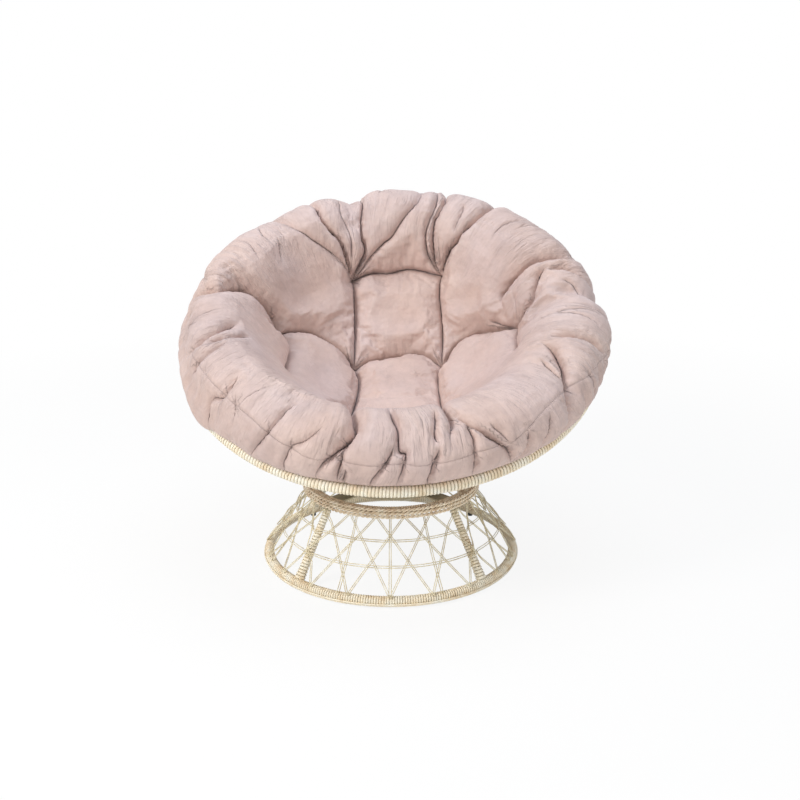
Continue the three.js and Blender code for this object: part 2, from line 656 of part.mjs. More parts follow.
function cushionRings() {
  const rings = [];
  const around = (point) => {
    const row = [];
    for (let i = 0; i < cushionSteps; i++) {
      row.push(point((2 * Math.PI * i) / cushionSteps, i));
    }
    rings.push(row);
  };
  for (let i = 1; i <= crownSteps; i++) {
    const at = crownCurve.getPoint(i / crownSteps);
    around((angle, sector) => crownPoint(at.x, at.y, angle, sector));
  }
  for (const seat of rimSeat) {
    around((angle) => new THREE.Vector3(seat.x * Math.sin(angle), -seat.x * Math.cos(angle), seat.y));
  }
  const edgePolar = Math.asin((rimRadius - 2 * rimWound) / cushionSphere);
  for (let i = 0; i < underSteps; i++) {
    const polar = edgePolar * (1 - i / underSteps);
    const radius = cushionSphere * Math.sin(polar);
    const height = sphereOffset - cushionSphere * Math.cos(polar);
    around((angle) => new THREE.Vector3(radius * Math.sin(angle), -radius * Math.cos(angle), height));
  }
  return rings;
}

function cushionGeometry() {
  const rings = cushionRings();
  const crown = crownPoint(0, crownShares[0][1] * rimRadius, 0, 0);
  const floor = new THREE.Vector3(0, 0, sphereOffset - cushionSphere);
  const points = [crown, ...rings.flat(), floor];
  const at = (row, sector) => 1 + row * cushionSteps + (sector % cushionSteps);
  const faces = [];
  for (let i = 0; i < cushionSteps; i++) {
    faces.push(0, at(0, i), at(0, i + 1));
    for (let row = 1; row < rings.length; row++) {
      faces.push(at(row - 1, i), at(row, i), at(row, i + 1));
      faces.push(at(row - 1, i), at(row, i + 1), at(row - 1, i + 1));
    }
    faces.push(points.length - 1, at(rings.length - 1, i + 1), at(rings.length - 1, i));
  }
  return new THREE.BufferGeometry().setFromPoints(points).setIndex(faces);
}

// The chair
const chair = new THREE.Group();
const axisFrame = new THREE.Group(); // about the swivel's axis
const bowlFrame = new THREE.Group();
bowlFrame.position.copy(rimCentre);
bowlFrame.rotation.x = tilt;
chair.add(axisFrame);
axisFrame.add(bowlFrame);

function place(parent, { name, geometry, material }) {
  const mesh = new THREE.Mesh(geometry, material);
  mesh.name = name;
  parent.add(mesh);
}

[...baseParts, ...cradleParts].forEach((part) => place(axisFrame, part));
bowlParts.forEach((part) => place(bowlFrame, part));
place(bowlFrame, { name: 'cushion', geometry: cushionGeometry(), material: fabric });

// The origin is on the floor at the middle of the chair's outline from above.
chair.updateMatrixWorld(true);
const outline = new THREE.Box3().setFromObject(chair, true);
const middle = outline.getCenter(new THREE.Vector3());
axisFrame.position.set(-middle.x, -middle.y, -outline.min.z);

export default chair;
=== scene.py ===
import bpy
import json
import math
import numpy as np
from mathutils import Matrix, Vector, kdtree, noise


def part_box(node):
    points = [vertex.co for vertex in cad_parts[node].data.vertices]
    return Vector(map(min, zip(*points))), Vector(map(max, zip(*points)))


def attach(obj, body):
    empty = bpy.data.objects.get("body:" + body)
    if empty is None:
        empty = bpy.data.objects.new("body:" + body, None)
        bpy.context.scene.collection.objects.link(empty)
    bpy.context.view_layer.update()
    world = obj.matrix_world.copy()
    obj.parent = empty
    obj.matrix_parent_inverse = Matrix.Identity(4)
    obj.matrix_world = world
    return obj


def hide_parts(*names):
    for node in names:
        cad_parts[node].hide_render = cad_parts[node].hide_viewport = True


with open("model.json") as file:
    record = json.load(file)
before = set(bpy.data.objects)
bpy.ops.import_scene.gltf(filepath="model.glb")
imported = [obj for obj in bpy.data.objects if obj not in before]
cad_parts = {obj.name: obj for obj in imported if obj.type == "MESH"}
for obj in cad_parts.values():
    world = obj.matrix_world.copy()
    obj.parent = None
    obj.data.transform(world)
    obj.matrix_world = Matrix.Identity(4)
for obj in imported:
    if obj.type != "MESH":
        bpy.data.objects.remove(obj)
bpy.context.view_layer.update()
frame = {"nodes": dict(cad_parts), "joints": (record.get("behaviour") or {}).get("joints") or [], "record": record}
legNames = ["back_right", "back_left", "front_left", "front_right"]
legAngles = [45, 135, 225, 315]
sideNames = ["right", "back", "left", "front"]

# where the swivel's axis and the rim's middle are
pivot = Vector(frame["joints"][0]["pos_m"])
pivot.z = 0
rimLow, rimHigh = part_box("rim_wrap")
rimMiddle = (Vector(rimLow) + Vector(rimHigh)) / 2
bowlAxis = Vector(frame["joints"][1]["axis"]).normalized()
tilt = math.atan2(-bowlAxis.y, bowlAxis.z)
ontoBase = Matrix.Translation(pivot)
ontoBowl = Matrix.Translation(rimMiddle) @ Matrix.Rotation(tilt, 4, "X")

# radius and height of the middle of each ring's tube, and the bowl's depth
footRing = (0.314, 0.0155)
topRing = (0.204, 0.193)
rimRadius = 0.52
smallRadius = 0.11
bowlDepth = 0.28


def deselectAll():
    if bpy.context.object and bpy.context.object.mode == "EDIT":
        bpy.ops.object.mode_set(mode="OBJECT")
    bpy.ops.object.select_all(action="DESELECT")


def pick(piece):
    deselectAll()
    piece.select_set(True)
    bpy.context.view_layer.objects.active = piece


def editAll():
    bpy.ops.object.mode_set(mode="EDIT")
    bpy.ops.mesh.select_all(action="SELECT")


def settle(piece):
    pick(piece)
    bpy.ops.object.transform_apply(location=True, rotation=True, scale=True)


def spotsOf(piece):
    spots = np.zeros(len(piece.data.vertices) * 3)
    piece.data.vertices.foreach_get("co", spots)
    return spots.reshape(-1, 3)


def putSpots(piece, spots):
    piece.data.vertices.foreach_set("co", np.asarray(spots, float).ravel())
    piece.data.update()


def paint(piece, material):
    piece.data.materials.clear()
    piece.data.materials.append(material)


# Shader nodes
def feed(tree, node, inputs):
    # each input is a socket to link or a plain value
    for slot, value in inputs.items():
        if isinstance(value, bpy.types.NodeSocket):
            tree.links.new(value, node.inputs[slot])
        else:
            node.inputs[slot].default_value = value


def addNode(tree, kind, inputs, **settings):
    node = tree.nodes.new("ShaderNode" + kind)
    for name, value in settings.items():
        setattr(node, name, value)
    feed(tree, node, inputs)
    return node.outputs


def sums(tree, kind, first, second, clamp=False):
    return addNode(tree, "Math", {0: first, 1: second}, operation=kind, use_clamp=clamp)[0]


def attribute(tree, name):
    return addNode(tree, "Attribute", {}, attribute_name=name)["Vector"]


def colourBand(tree, value, stops):
    # a colour read off a ramp
    ramp = tree.nodes.new("ShaderNodeValToRGB")
    while len(ramp.color_ramp.elements) < len(stops):
        ramp.color_ramp.elements.new(0.5)
    for element, (place, colour) in zip(ramp.color_ramp.elements, stops):
        element.position = place
        element.color = (*colour, 1)
    tree.links.new(value, ramp.inputs[0])
    return ramp.outputs[0]


def floatBand(tree, value, low, high, stops):
    # a number read off a grey ramp between two limits
    share = sums(tree, "DIVIDE", sums(tree, "SUBTRACT", value, low), high - low)
    greys = [((at - low) / (high - low), (level, level, level)) for at, level in stops]
    return colourBand(tree, share, greys)


def noiseAt(tree, coords, scale, detail=3, rough=0.55):
    inputs = {"Vector": coords, "Scale": scale, "Detail": detail, "Roughness": rough}
    return addNode(tree, "TexNoise", inputs)["Fac"]


def ridged(tree, grain):
    # sharp ridges where the grain passes its middle
    return sums(tree, "ABSOLUTE", sums(tree, "SUBTRACT", grain, 0.5), 0)


def blendColours(tree, amount, first, second, mode="MIX"):
    inputs = {"Factor": amount, "A": first, "B": second}
    return addNode(tree, "Mix", inputs, data_type="RGBA", blend_type=mode)["Result"]


def blendShaders(tree, amount, first, second):
    return addNode(tree, "MixShader", {0: amount, 1: first, 2: second})[0]


def roughen(tree, shader, height, strength, distance):
    bump = addNode(tree, "Bump", {"Height": height, "Strength": strength, "Distance": distance})
    feed(tree, shader, {"Normal": bump["Normal"]})


# Camera, light and floor
photo = {"right": 0.023, "back": 2.5, "height": 1.175, "down": 17.1, "focal": 1048, "side": 800}
studio = {
    "worldColour": (0.93, 0.96, 1), "worldStrength": 0.38,
    "floorRadius": 9, "floorColour": (0.9, 0.9, 0.89), "floorRough": 0.9,
    # the floor's share of white near the chair, and where it starts and ends its change to all white
    "floorWhite": 0.88, "whiteFrom": 1.0, "whiteAll": 2.6,
}
lamps = {
    "skyLamp": {"size": 2.6, "energy": 50, "place": (0.3, 0.5, 3.3), "target": (0, 0, 0.45),
                "colour": (0.84, 0.9, 1)},
    "keyLamp": {"size": 1.3, "energy": 72, "place": (-2.5, -1.6, 2.6), "target": (0, 0, 0.45),
                "colour": (1, 0.965, 0.92)},
    "fillLamp": {"size": 1.8, "energy": 20, "place": (0.9, -3.0, 0.9), "target": (0, 0, 0.35),
                 "colour": (1, 0.98, 0.95)},
}


def setView():
    cam = bpy.data.cameras.new("photoCamera")
    cam.sensor_width = 36
    cam.lens = photo["focal"] * cam.sensor_width / photo["side"]
    eye = bpy.data.objects.new("photoCamera", cam)
    eye.location = (pivot.x + photo["right"], pivot.y - photo["back"], photo["height"])
    eye.rotation_euler = (math.radians(90 - photo["down"]), 0, 0)
    bpy.context.scene.collection.objects.link(eye)
    bpy.context.scene.camera = eye
    bpy.context.scene.view_settings.view_transform = "Standard"


def addLamp(name, size, energy, place, target, colour):
    lamp = bpy.data.lights.new(name, "AREA")
    lamp.color = colour
    lamp.shape = "DISK"
    lamp.size = size
    lamp.energy = energy
    piece = bpy.data.objects.new(name, lamp)
    piece.location = place
    piece.rotation_euler = (Vector(target) - Vector(place)).to_track_quat("-Z", "Y").to_euler()
    bpy.context.scene.collection.objects.link(piece)


def pathMix(tree, seen, unseen):
    # what the camera, gloss and glass see, and what lights the object
    path = addNode(tree, "LightPath", {})
    shown = sums(tree, "MAXIMUM", path["Is Camera Ray"], path["Is Glossy Ray"])
    return blendShaders(tree, sums(tree, "MAXIMUM", shown, path["Is Transmission Ray"]), unseen, seen)


def lightWorld():
    world = bpy.data.worlds.new("studio")
    bpy.context.scene.world = world
    world.use_nodes = True
    tree = world.node_tree
    tree.nodes.clear()
    seen = addNode(tree, "Background", {"Color": (1, 1, 1, 1)})[0]
    colour = (*studio["worldColour"], 1)
    lit = addNode(tree, "Background", {"Color": colour, "Strength": studio["worldStrength"]})[0]
    addNode(tree, "OutputWorld", {"Surface": pathMix(tree, seen, lit)})


def layFloor():
    # mostly its own white to the camera, so the object's shadow on it stays pale
    deselectAll()
    radius = studio["floorRadius"]
    bpy.ops.mesh.primitive_circle_add(vertices=96, radius=radius, fill_type="NGON", location=(0, 0, 0))
    floor = bpy.context.object
    floor.name = "floor"
    floorPaint = bpy.data.materials.new("floorPaint")
    floorPaint.use_nodes = True
    tree = floorPaint.node_tree
    matt = tree.nodes["Principled BSDF"]
    feed(tree, matt, {"Base Color": (*studio["floorColour"], 1), "Roughness": studio["floorRough"]})
    glow = addNode(tree, "Emission", {})[0]
    place = addNode(tree, "TexCoord", {})["Object"]
    spread = addNode(tree, "VectorMath", {0: place}, operation="LENGTH")["Value"]
    fade = [(studio["whiteFrom"], studio["floorWhite"]), (studio["whiteAll"], 1)]
    bright = blendShaders(tree, floatBand(tree, spread, 0, radius, fade), matt.outputs[0], glow)
    feed(tree, tree.nodes["Material Output"], {"Surface": pathMix(tree, bright, matt.outputs[0])})
    floor.data.materials.append(floorPaint)


# Materials
def startMaterial(name, rough, metal=0.0):
    made = bpy.data.materials.new(name)
    made.use_nodes = True
    tree = made.node_tree
    shader = tree.nodes["Principled BSDF"]
    feed(tree, shader, {"Roughness": rough, "Metallic": metal})
    return made, tree, shader, addNode(tree, "TexCoord", {})["Object"]


def strandMaterial(name, stops, patchScale=26):
    # natural strand: broad patches of tone and fine fibre marks
    made, tree, shader, coords = startMaterial(name, 0.56)
    fibres = noiseAt(tree, coords, 420, 2)
    tone = colourBand(tree, noiseAt(tree, coords, patchScale, 4), stops)
    marks = colourBand(tree, fibres, [(0.3, (0.78, 0.72, 0.62)), (0.55, (1, 1, 1))])
    colour = blendColours(tree, 0.7, tone, marks, "MULTIPLY")
    feed(tree, shader, {"Base Color": colour, "Coat Weight": 0.08, "Coat Roughness": 0.35})
    roughen(tree, shader, fibres, 0.35, 0.0006)
    return made


def paintMaterial(name, light, dark, rough, metal, speck=180):
    made, tree, shader, coords = startMaterial(name, rough, metal)
    wear = noiseAt(tree, coords, speck, 4)
    feed(tree, shader, {"Base Color": colourBand(tree, wear, [(0.36, dark), (0.6, light)])})
    roughen(tree, shader, wear, 0.12, 0.0005)
    return made


def clothColour(tree, coords):
    # faded patches of tone, and painted sky light: lilac where the cloth faces up
    pink = colourBand(tree, noiseAt(tree, coords, 6, 4),
                      [(0.3, (0.57, 0.42, 0.37)), (0.5, (0.635, 0.475, 0.42)), (0.72, (0.7, 0.54, 0.48))])
    lilac = colourBand(tree, noiseAt(tree, coords, 9, 3),
                       [(0.3, (0.52, 0.415, 0.41)), (0.7, (0.64, 0.53, 0.53))])
    facing = addNode(tree, "SeparateXYZ", {0: addNode(tree, "NewGeometry", {})["Normal"]})
    # painted sky light: the more the cloth faces up, the more lilac it turns
    skyLitUp = sums(tree, "MULTIPLY", sums(tree, "ADD", facing["Z"], 0.1), 0.3)
    patch = sums(tree, "SUBTRACT", noiseAt(tree, coords, 4.2, 3), 0.5)
    patchesAndSkyLight = sums(tree, "ADD", sums(tree, "MULTIPLY", patch, 1.7), skyLitUp, True)
    marks = colourBand(tree, noiseAt(tree, coords, 55, 4), [(0.3, (0.9, 0.9, 0.905)), (0.66, (1, 1, 1))])
    return blendColours(tree, 0.85, blendColours(tree, patchesAndSkyLight, pink, lilac), marks, "MULTIPLY")


def foldAround(tree):
    # signed distance in millimetres to the nearest fold, and the fold's strength near it
    parts = addNode(tree, "SeparateXYZ", {0: attribute(tree, "fold")})
    close = floatBand(tree, parts["Y"], 0, 24, [(0, 1), (12, 1), (20, 0)])
    return parts["X"], sums(tree, "MULTIPLY", parts["Z"], close)


def paintedFoldShade(tree, coords, away, power):
    # painted shade: a dark line at the bottom of a fold
    line = floatBand(tree, away, -8, 8, [(-5, 0), (-1.6, 0.4), (0, 1), (1.2, 0.4), (3, 0)])
    tight = floatBand(tree, noiseAt(tree, coords, 24, 2), 0, 1, [(0.32, 0.25), (0.6, 1)])
    sharp = floatBand(tree, power, 0, 1, [(0.3, 0.06), (0.95, 0.9)])
    dark = sums(tree, "MULTIPLY", line, sums(tree, "MULTIPLY", sharp, tight), True)
    return colourBand(tree, dark, [(0.0, (1, 1, 1)), (1.0, (0.26, 0.16, 0.15))])


def rollStreaks(tree):
    # streaks that run out over the roll, and how strong they are at each distance from the seat's middle
    place = attribute(tree, "coverPlace")
    reach = addNode(tree, "VectorMath", {0: place}, operation="LENGTH")["Value"]
    way = addNode(tree, "VectorMath", {0: place}, operation="NORMALIZE")["Vector"]
    along = addNode(tree, "CombineXYZ", {"Z": sums(tree, "DIVIDE", reach, 95.0)})[0]
    streakAt = addNode(tree, "VectorMath", {0: way, 1: (21, 21, 0), 2: along}, operation="MULTIPLY_ADD")
    onRoll = floatBand(tree, reach, 300, 760, [(330, 0.12), (470, 1), (600, 1), (690, 0.45), (730, 0.2)])
    return noiseAt(tree, streakAt["Vector"], 1.0, 3, 0.6), onRoll


def clothMaterial(name):
    # fine polyester: colour, painted shade in the folds, painted sheen and shade along the streaks, wrinkles along
    # the cover, raised lips at the folds, and thread
    made, tree, shader, coords = startMaterial(name, 0.58)
    away, power = foldAround(tree)
    shade = paintedFoldShade(tree, coords, away, power)
    # the cloth's colour, darkened by painted shade in the folds
    shadedInFolds = blendColours(tree, 1.0, clothColour(tree, coords), shade, "MULTIPLY")
    streaks, onRoll = rollStreaks(tree)
    # painted sheen and shade along the streaks: a little darker where the streaks run low, lighter and cooler
    # where they run high
    streakSheenShade = colourBand(tree, streaks,
                     [(0.36, (0.91, 0.905, 0.91)), (0.5, (1, 1, 1)), (0.66, (1.04, 1.05, 1.06))])
    streakSheenShaded = blendColours(tree, 1.0, shadedInFolds, streakSheenShade, "MULTIPLY")
    feed(tree, shader, {"Base Color": blendColours(tree, onRoll, shadedInFolds, streakSheenShaded), "Sheen Weight": 0.2,
                        "Sheen Roughness": 0.4, "Sheen Tint": (0.95, 0.9, 0.95, 1)})
    patchy = floatBand(tree, noiseAt(tree, coords, 7, 2), 0, 1, [(0.38, 0.15), (0.62, 1)])
    wrinkle = sums(tree, "MULTIPLY", sums(tree, "MULTIPLY", ridged(tree, streaks), onRoll), patchy)
    crushed = ridged(tree, noiseAt(tree, coords, 16, 3, 0.6))
    lip = floatBand(tree, away, -16, 16,
                    [(-14, 0.5), (-5, 0.72), (-1.6, 0.7), (0, 0), (1.4, 0.34), (5, 0.5), (14, 0.5)])
    height = sums(tree, "ADD", sums(tree, "MULTIPLY", wrinkle, 2.0), sums(tree, "MULTIPLY", crushed, 0.9))
    height = sums(tree, "ADD", height, sums(tree, "MULTIPLY", sums(tree, "SUBTRACT", lip, 0.5), power))
    height = sums(tree, "ADD", height, sums(tree, "MULTIPLY", noiseAt(tree, coords, 1100, 2), 0.03))
    roughen(tree, shader, height, 1.0, 0.009)
    return made


paleStrand = [(0.3, (0.8, 0.64, 0.43)), (0.46, (0.96, 0.86, 0.67)), (0.66, (0.98, 0.95, 0.83))]
ivoryStrand = [(0.3, (0.6, 0.5, 0.32)), (0.5, (0.84, 0.77, 0.56)), (0.7, (0.95, 0.91, 0.76))]
brownStrand = [(0.3, (0.6, 0.44, 0.29)), (0.48, (0.88, 0.74, 0.55)), (0.7, (0.97, 0.9, 0.75))]
wickerMaterial = strandMaterial("paleWicker", paleStrand)
netMaterial = strandMaterial("ivoryWicker", ivoryStrand, 40)
# a browner strand for the top ring's winding and its band cords
bandMaterial = strandMaterial("brownWicker", brownStrand, 45)
fabricMaterial = clothMaterial("blushPolyester")
slotMaterials = {
    "steel": paintMaterial("tanPaint", (0.56, 0.5, 0.35), (0.45, 0.39, 0.26), 0.5, 0.1),
    "zinc": paintMaterial("zincPlate", (0.5, 0.5, 0.49), (0.4, 0.4, 0.39), 0.36, 0.9),
    "nylon": paintMaterial("blackNylon", (0.03, 0.03, 0.028), (0.02, 0.02, 0.019), 0.55, 0.0, 400),
    "wicker": wickerMaterial,
    "fabric": fabricMaterial,
}
for entry in frame["record"]["subparts"]:
    paint(frame["nodes"][entry["node"]], slotMaterials[entry["material_slot"]])
setView()
lightWorld()
for name, lamp in lamps.items():
    addLamp(name, **lamp)
layFloor()
print("camera, light and materials ready")


# Tubes wound with strand
def finishStrand(piece, name, body, replaced, onto, material=wickerMaterial):
    piece.matrix_world = onto
    piece.name = name
    piece.data.name = name
    settle(piece)
    paint(piece, material)
    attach(piece, body)
    if replaced:
        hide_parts(*replaced)
    deselectAll()


def spinCopies(count, angle=2 * math.pi, axis=(0, 0, 1)):
    # evenly spaced copies of what is selected
    sweep = angle * (count - 1) / count
    bpy.ops.mesh.spin(steps=count - 1, dupli=True, angle=sweep, center=(0, 0, 0), axis=axis)
    bpy.ops.object.mode_set(mode="OBJECT")


def oneTurn(wind, place):
    # one turn of strand round a tube that runs along Y at that place
    deselectAll()
    bpy.ops.mesh.primitive_torus_add(
        major_radius=wind["tube"] - wind["thick"] / 2, minor_radius=wind["thick"] / 2,
        major_segments=wind.get("sides", 14), minor_segments=5,
        location=(0, 0, 0), rotation=(math.pi / 2, 0, 0))
    turn = bpy.context.object
    bpy.ops.object.transform_apply(location=True, rotation=True, scale=True)
    editAll()
    lean = math.radians(wind.get("lean", 4))
    bpy.ops.transform.resize(value=(1, wind["width"] / wind["thick"], 1), center_override=(0, 0, 0))
    bpy.ops.transform.rotate(value=lean, orient_axis="X", center_override=(0, 0, 0))
    bpy.ops.transform.translate(value=place)
    return turn


def looseTurns(piece, count, amount, seed):
    # no two turns lie quite alike
    spots = spotsOf(piece)
    turns = spots.reshape(count, len(spots) // count, 3)
    chance = np.random.default_rng(seed)
    middles = turns.mean(axis=1, keepdims=True)
    sizes = chance.normal(1, amount, (count, 1, 1)).clip(1 - 2 * amount, 1.0)
    putSpots(piece, middles + (turns - middles) * sizes)


def windRing(name, body, replaced, wind, onto, material=wickerMaterial):
    turn = oneTurn(wind, (wind["radius"], 0, wind.get("height", 0)))
    count = round(2 * math.pi * wind["radius"] / wind["pitch"])
    spinCopies(count)
    looseTurns(turn, count, 0.012, 3)
    bpy.ops.object.shade_smooth()
    finishStrand(turn, name, body, replaced, onto, material)


# radius and height of a ring, then its tube's outside, the strand's height and width, and its turns' spacing
rimWinding = {"radius": rimRadius, "tube": 0.0138, "thick": 0.0046, "width": 0.0074, "pitch": 0.0079}
footWinding = {"radius": footRing[0], "height": footRing[1],
               "tube": 0.0118, "thick": 0.004, "width": 0.0056, "pitch": 0.006}
topWinding = {"radius": topRing[0], "height": topRing[1],
              "tube": 0.0118, "thick": 0.0036, "width": 0.0058, "pitch": 0.006}
windRing("rimWindingTurns", "bowl", ["rim_wrap"], rimWinding, ontoBowl)
windRing("footWindingTurns", "base", ["foot_ring_wrap"], footWinding, ontoBase)
windRing("topWindingTurns", "base", ["top_ring_wrap"], topWinding, ontoBase, bandMaterial)
print("rings wound")

# the legs run from ring to ring, and their turns swell towards the foot
legWinding = {
    "tube": 0.0104, "thick": 0.0042, "width": 0.0072, "pitch": 0.0077, "sides": 14, "lean": 7,
    "start": 0.014, "stop": 0.195, "swell": 0.3, "fade": 0.05,
}


def windLegs():
    wind = legWinding
    slope = math.atan2(topRing[1] - footRing[1], topRing[0] - footRing[0])
    # the tube's own line is turned up from Y, then round the chair
    upright = Matrix(((0, math.cos(slope), -math.sin(slope), 0), (1, 0, 0, 0),
                      (0, math.sin(slope), math.cos(slope), 0), (0, 0, 0, 1)))
    ontoFoot = Matrix.Translation((footRing[0], 0, footRing[1])) @ upright
    count = int((wind["stop"] - wind["start"]) / wind["pitch"])
    for name, degrees in zip(legNames, legAngles):
        turn = oneTurn(wind, (0, wind["start"], 0))
        bpy.ops.object.mode_set(mode="OBJECT")
        rows = turn.modifiers.new("rows", "ARRAY")
        rows.count = count
        rows.use_relative_offset = False
        rows.use_constant_offset = True
        rows.constant_offset_displace = (0, wind["pitch"], 0)
        pick(turn)
        bpy.ops.object.modifier_apply(modifier="rows")
        looseTurns(turn, count, 0.014, 7)
        spots = spotsOf(turn)
        swell = 1 + wind["swell"] * np.exp(-(spots[:, 1] - wind["start"]) / wind["fade"])
        spots[:, 0] *= swell
        spots[:, 2] *= swell
        putSpots(turn, spots)
        bpy.ops.object.shade_smooth()
        onto = ontoBase @ Matrix.Rotation(math.radians(degrees), 4, "Z") @ ontoFoot
        finishStrand(turn, f"legWinding_{name}", "base", [f"leg_wrap_{name}"], onto)
        pick(turn)
        editAll()
        bpy.ops.mesh.normals_make_consistent(inside=False)
        bpy.ops.object.mode_set(mode="OBJECT")


windLegs()
print("legs wound")


# Strands laid as curves
def layStrands(name, runs, radius, closed=False, sides=1):
    sheet = bpy.data.curves.new(name, "CURVE")
    sheet.dimensions = "3D"
    sheet.bevel_depth = radius
    sheet.bevel_resolution = sides
    sheet.use_fill_caps = True
    for run in runs:
        spline = sheet.splines.new("POLY")
        spline.points.add(len(run) - 1)
        for point, spot in zip(spline.points, run):
            point.co = (*spot, 1)
        spline.use_cyclic_u = closed
    piece = bpy.data.objects.new(name, sheet)
    bpy.context.scene.collection.objects.link(piece)
    pick(piece)
    bpy.ops.object.convert(target="MESH")
    piece = bpy.context.object
    bpy.ops.object.shade_smooth()
    return piece


def copyRound(piece, copies):
    pick(piece)
    editAll()
    spinCopies(copies)


# the base's net lies on the waisted surface that its taut diagonals make
baseNet = {
    "low": (0.3232, 0.0262), "high": (0.2108, 0.1808), "turn": 27, "strand": 0.0011, "pairGap": 0.0046,
    "weave": 0.0015, "ripple": 0.0006, "hoops": (0.36, 0.68), "starts": (-36, -18, 0, 18, 36),
    "uprights": (-22.5, 0, 22.5), "legReach": 0.0135,
    "steps": 18, "uprightSteps": 12, "hoopSteps": 240, "slope": 0.19,
}


def diagonalAt(share):
    # how far a diagonal has turned there, its radius and its height
    low, high, full = baseNet["low"], baseNet["high"], math.radians(baseNet["turn"])
    across = share * high[0] * math.sin(full)
    along = (1 - share) * low[0] + share * high[0] * math.cos(full)
    return math.atan2(across, along), math.hypot(across, along), low[1] + (high[1] - low[1]) * share


def netSpot(share, angle, out):
    # pushed out by the weave, and over a leg where it crosses one
    turned, radius, height = diagonalAt(share)
    lean = math.atan2(baseNet["low"][0] - baseNet["high"][0], baseNet["high"][1] - baseNet["low"][1])
    radius += out * math.cos(lean)
    height += out * math.sin(lean)
    along = (height - footRing[1]) / (topRing[1] - footRing[1])
    legRadius = footRing[0] + (topRing[0] - footRing[0]) * along
    reach = baseNet["legReach"]
    for legAngle in legAngles:
        away = math.radians((math.degrees(angle) - legAngle + 180) % 360 - 180)
        side = abs(away) * radius
        if side < 3 * reach:
            need = legRadius + reach / math.cos(lean) * math.exp(-(side / (1.5 * reach)) ** 2)
            radius += max(0.0, need - radius) * math.exp(-(side / (2.2 * reach)) ** 2)
    return Vector((radius * math.cos(angle), radius * math.sin(angle), height))


def diagonalRun(start, hand, shift):
    run = []
    for i in range(baseNet["steps"] + 1):
        share = i / baseNet["steps"]
        turned, radius, height = diagonalAt(share)
        out = hand * baseNet["weave"] * math.sin(2 * math.pi * turned / math.radians(baseNet["turn"]))
        run.append(netSpot(share, start + hand * turned + shift / radius, out))
    return run


def uprightRun(angle, shift):
    middle = (baseNet["low"][0] + baseNet["high"][0]) / 2
    steps = baseNet["uprightSteps"]
    return [netSpot(i / steps, angle + shift / middle, -2.2 * baseNet["weave"]) for i in range(steps + 1)]


def hoopRun(share):
    run = []
    for i in range(baseNet["hoopSteps"]):
        angle = 2 * math.pi * i / baseNet["hoopSteps"]
        run.append(netSpot(share, angle, 2.0 * baseNet["weave"] + baseNet["ripple"] * math.sin(20 * angle)))
    return run


def weaveBase():
    # a quarter of the net, copied round, then the hoops
    half = baseNet["pairGap"] / 2
    runs = []
    for degrees in baseNet["starts"]:
        for hand in (1, -1):
            runs += [diagonalRun(math.radians(degrees), hand, shift) for shift in (-half, half)]
    for degrees in baseNet["uprights"]:
        runs += [uprightRun(math.radians(degrees), shift) for shift in (-half, half)]
    strands = layStrands("baseStrands", runs, baseNet["strand"])
    copyRound(strands, len(sideNames))
    replaced = [f"lattice_{side}" for side in sideNames]
    finishStrand(strands, "baseLatticeStrands", "base", replaced, ontoBase, netMaterial)
    shares = [share + shift / baseNet["slope"] for share in baseNet["hoops"] for shift in (-half, half)]
    runs = [hoopRun(share) for share in shares]
    hoops = layStrands("baseHoopStrands", runs, baseNet["strand"], closed=True)
    finishStrand(hoops, "baseHoopStrands", "base", [], ontoBase, netMaterial)


# three twisted cords round the top ring, and the two strands along the foot ring
band = {
    "inner": 0.2161, "rows": (-0.009, 0, 0.009), "rowPhases": (-2.7, 0, 2.7), "strand": 0.0022,
    "twists": 58, "stepsPerTwist": 8, "flat": 1.05,
}
border = {"strand": 0.0021, "seats": {"upper": (0.3262, 0.0105), "lower": (0.3242, 0.0066)}, "steps": 180,
          "wander": 0.0004}


def twistCords():
    steps = band["twists"] * band["stepsPerTwist"]
    runs = []
    for row, rowPhase in zip(band["rows"], band["rowPhases"]):
        for phase in (0, math.pi):
            run = []
            for i in range(steps):
                angle = 2 * math.pi * i / steps
                spin = band["twists"] * angle + phase + rowPhase
                radius = band["inner"] + 2 * band["strand"] + band["strand"] * math.cos(spin)
                height = topRing[1] + row + band["flat"] * band["strand"] * math.sin(spin)
                run.append((radius * math.cos(angle), radius * math.sin(angle), height))
            runs.append(run)
    cords = layStrands("topBandCords", runs, band["strand"], closed=True)
    finishStrand(cords, "topBandCords", "base", ["top_ring_band"], ontoBase, bandMaterial)


def layBorder():
    for label, (radius, height) in border["seats"].items():
        run = []
        for i in range(border["steps"]):
            angle = 2 * math.pi * i / border["steps"]
            wander = noise.noise(Vector((4 * math.cos(angle), 4 * math.sin(angle), height * 900)))
            lift = border["wander"] * wander
            run.append(((radius + lift) * math.cos(angle), (radius + lift) * math.sin(angle), height + lift))
        strand = layStrands("borderStrand", [run], border["strand"], closed=True, sides=2)
        finishStrand(strand, f"footBorder_{label}", "base", [f"foot_border_{label}"], ontoBase)


weaveBase()
twistCords()
layBorder()
print("base woven")

# Bowl: its ribs lie on a sphere, the hoop and the net a little inside it
sphere = (rimRadius ** 2 + bowlDepth ** 2) / (2 * bowlDepth)
bowl = {
    "centre": sphere - bowlDepth,
    "rimAngle": math.asin(rimRadius / sphere), "floorAngle": math.asin(smallRadius / sphere),
    "ribs": 8, "firstRib": 22.5, "ribStart": 0.014, "ribStop": 0.022,
    "hoopShare": 0.6, "hoopSphere": sphere - 0.0107, "netSphere": 0.6035, "netEnd": 0.6125,
    "families": 12, "turn": 60, "netStart": 0.012, "netStop": 0.018, "netSteps": 32,
    "strand": 0.00125, "halfGap": 0.0024, "weave": 0.0012, "crossings": 12,
}
hoopAngle = bowl["floorAngle"] + (bowl["rimAngle"] - bowl["floorAngle"]) * bowl["hoopShare"]
floorWinding = {"radius": smallRadius, "height": bowl["centre"] - sphere * math.cos(bowl["floorAngle"]),
                "tube": 0.0083, "thick": 0.003, "width": 0.0058, "pitch": 0.0055, "sides": 12}
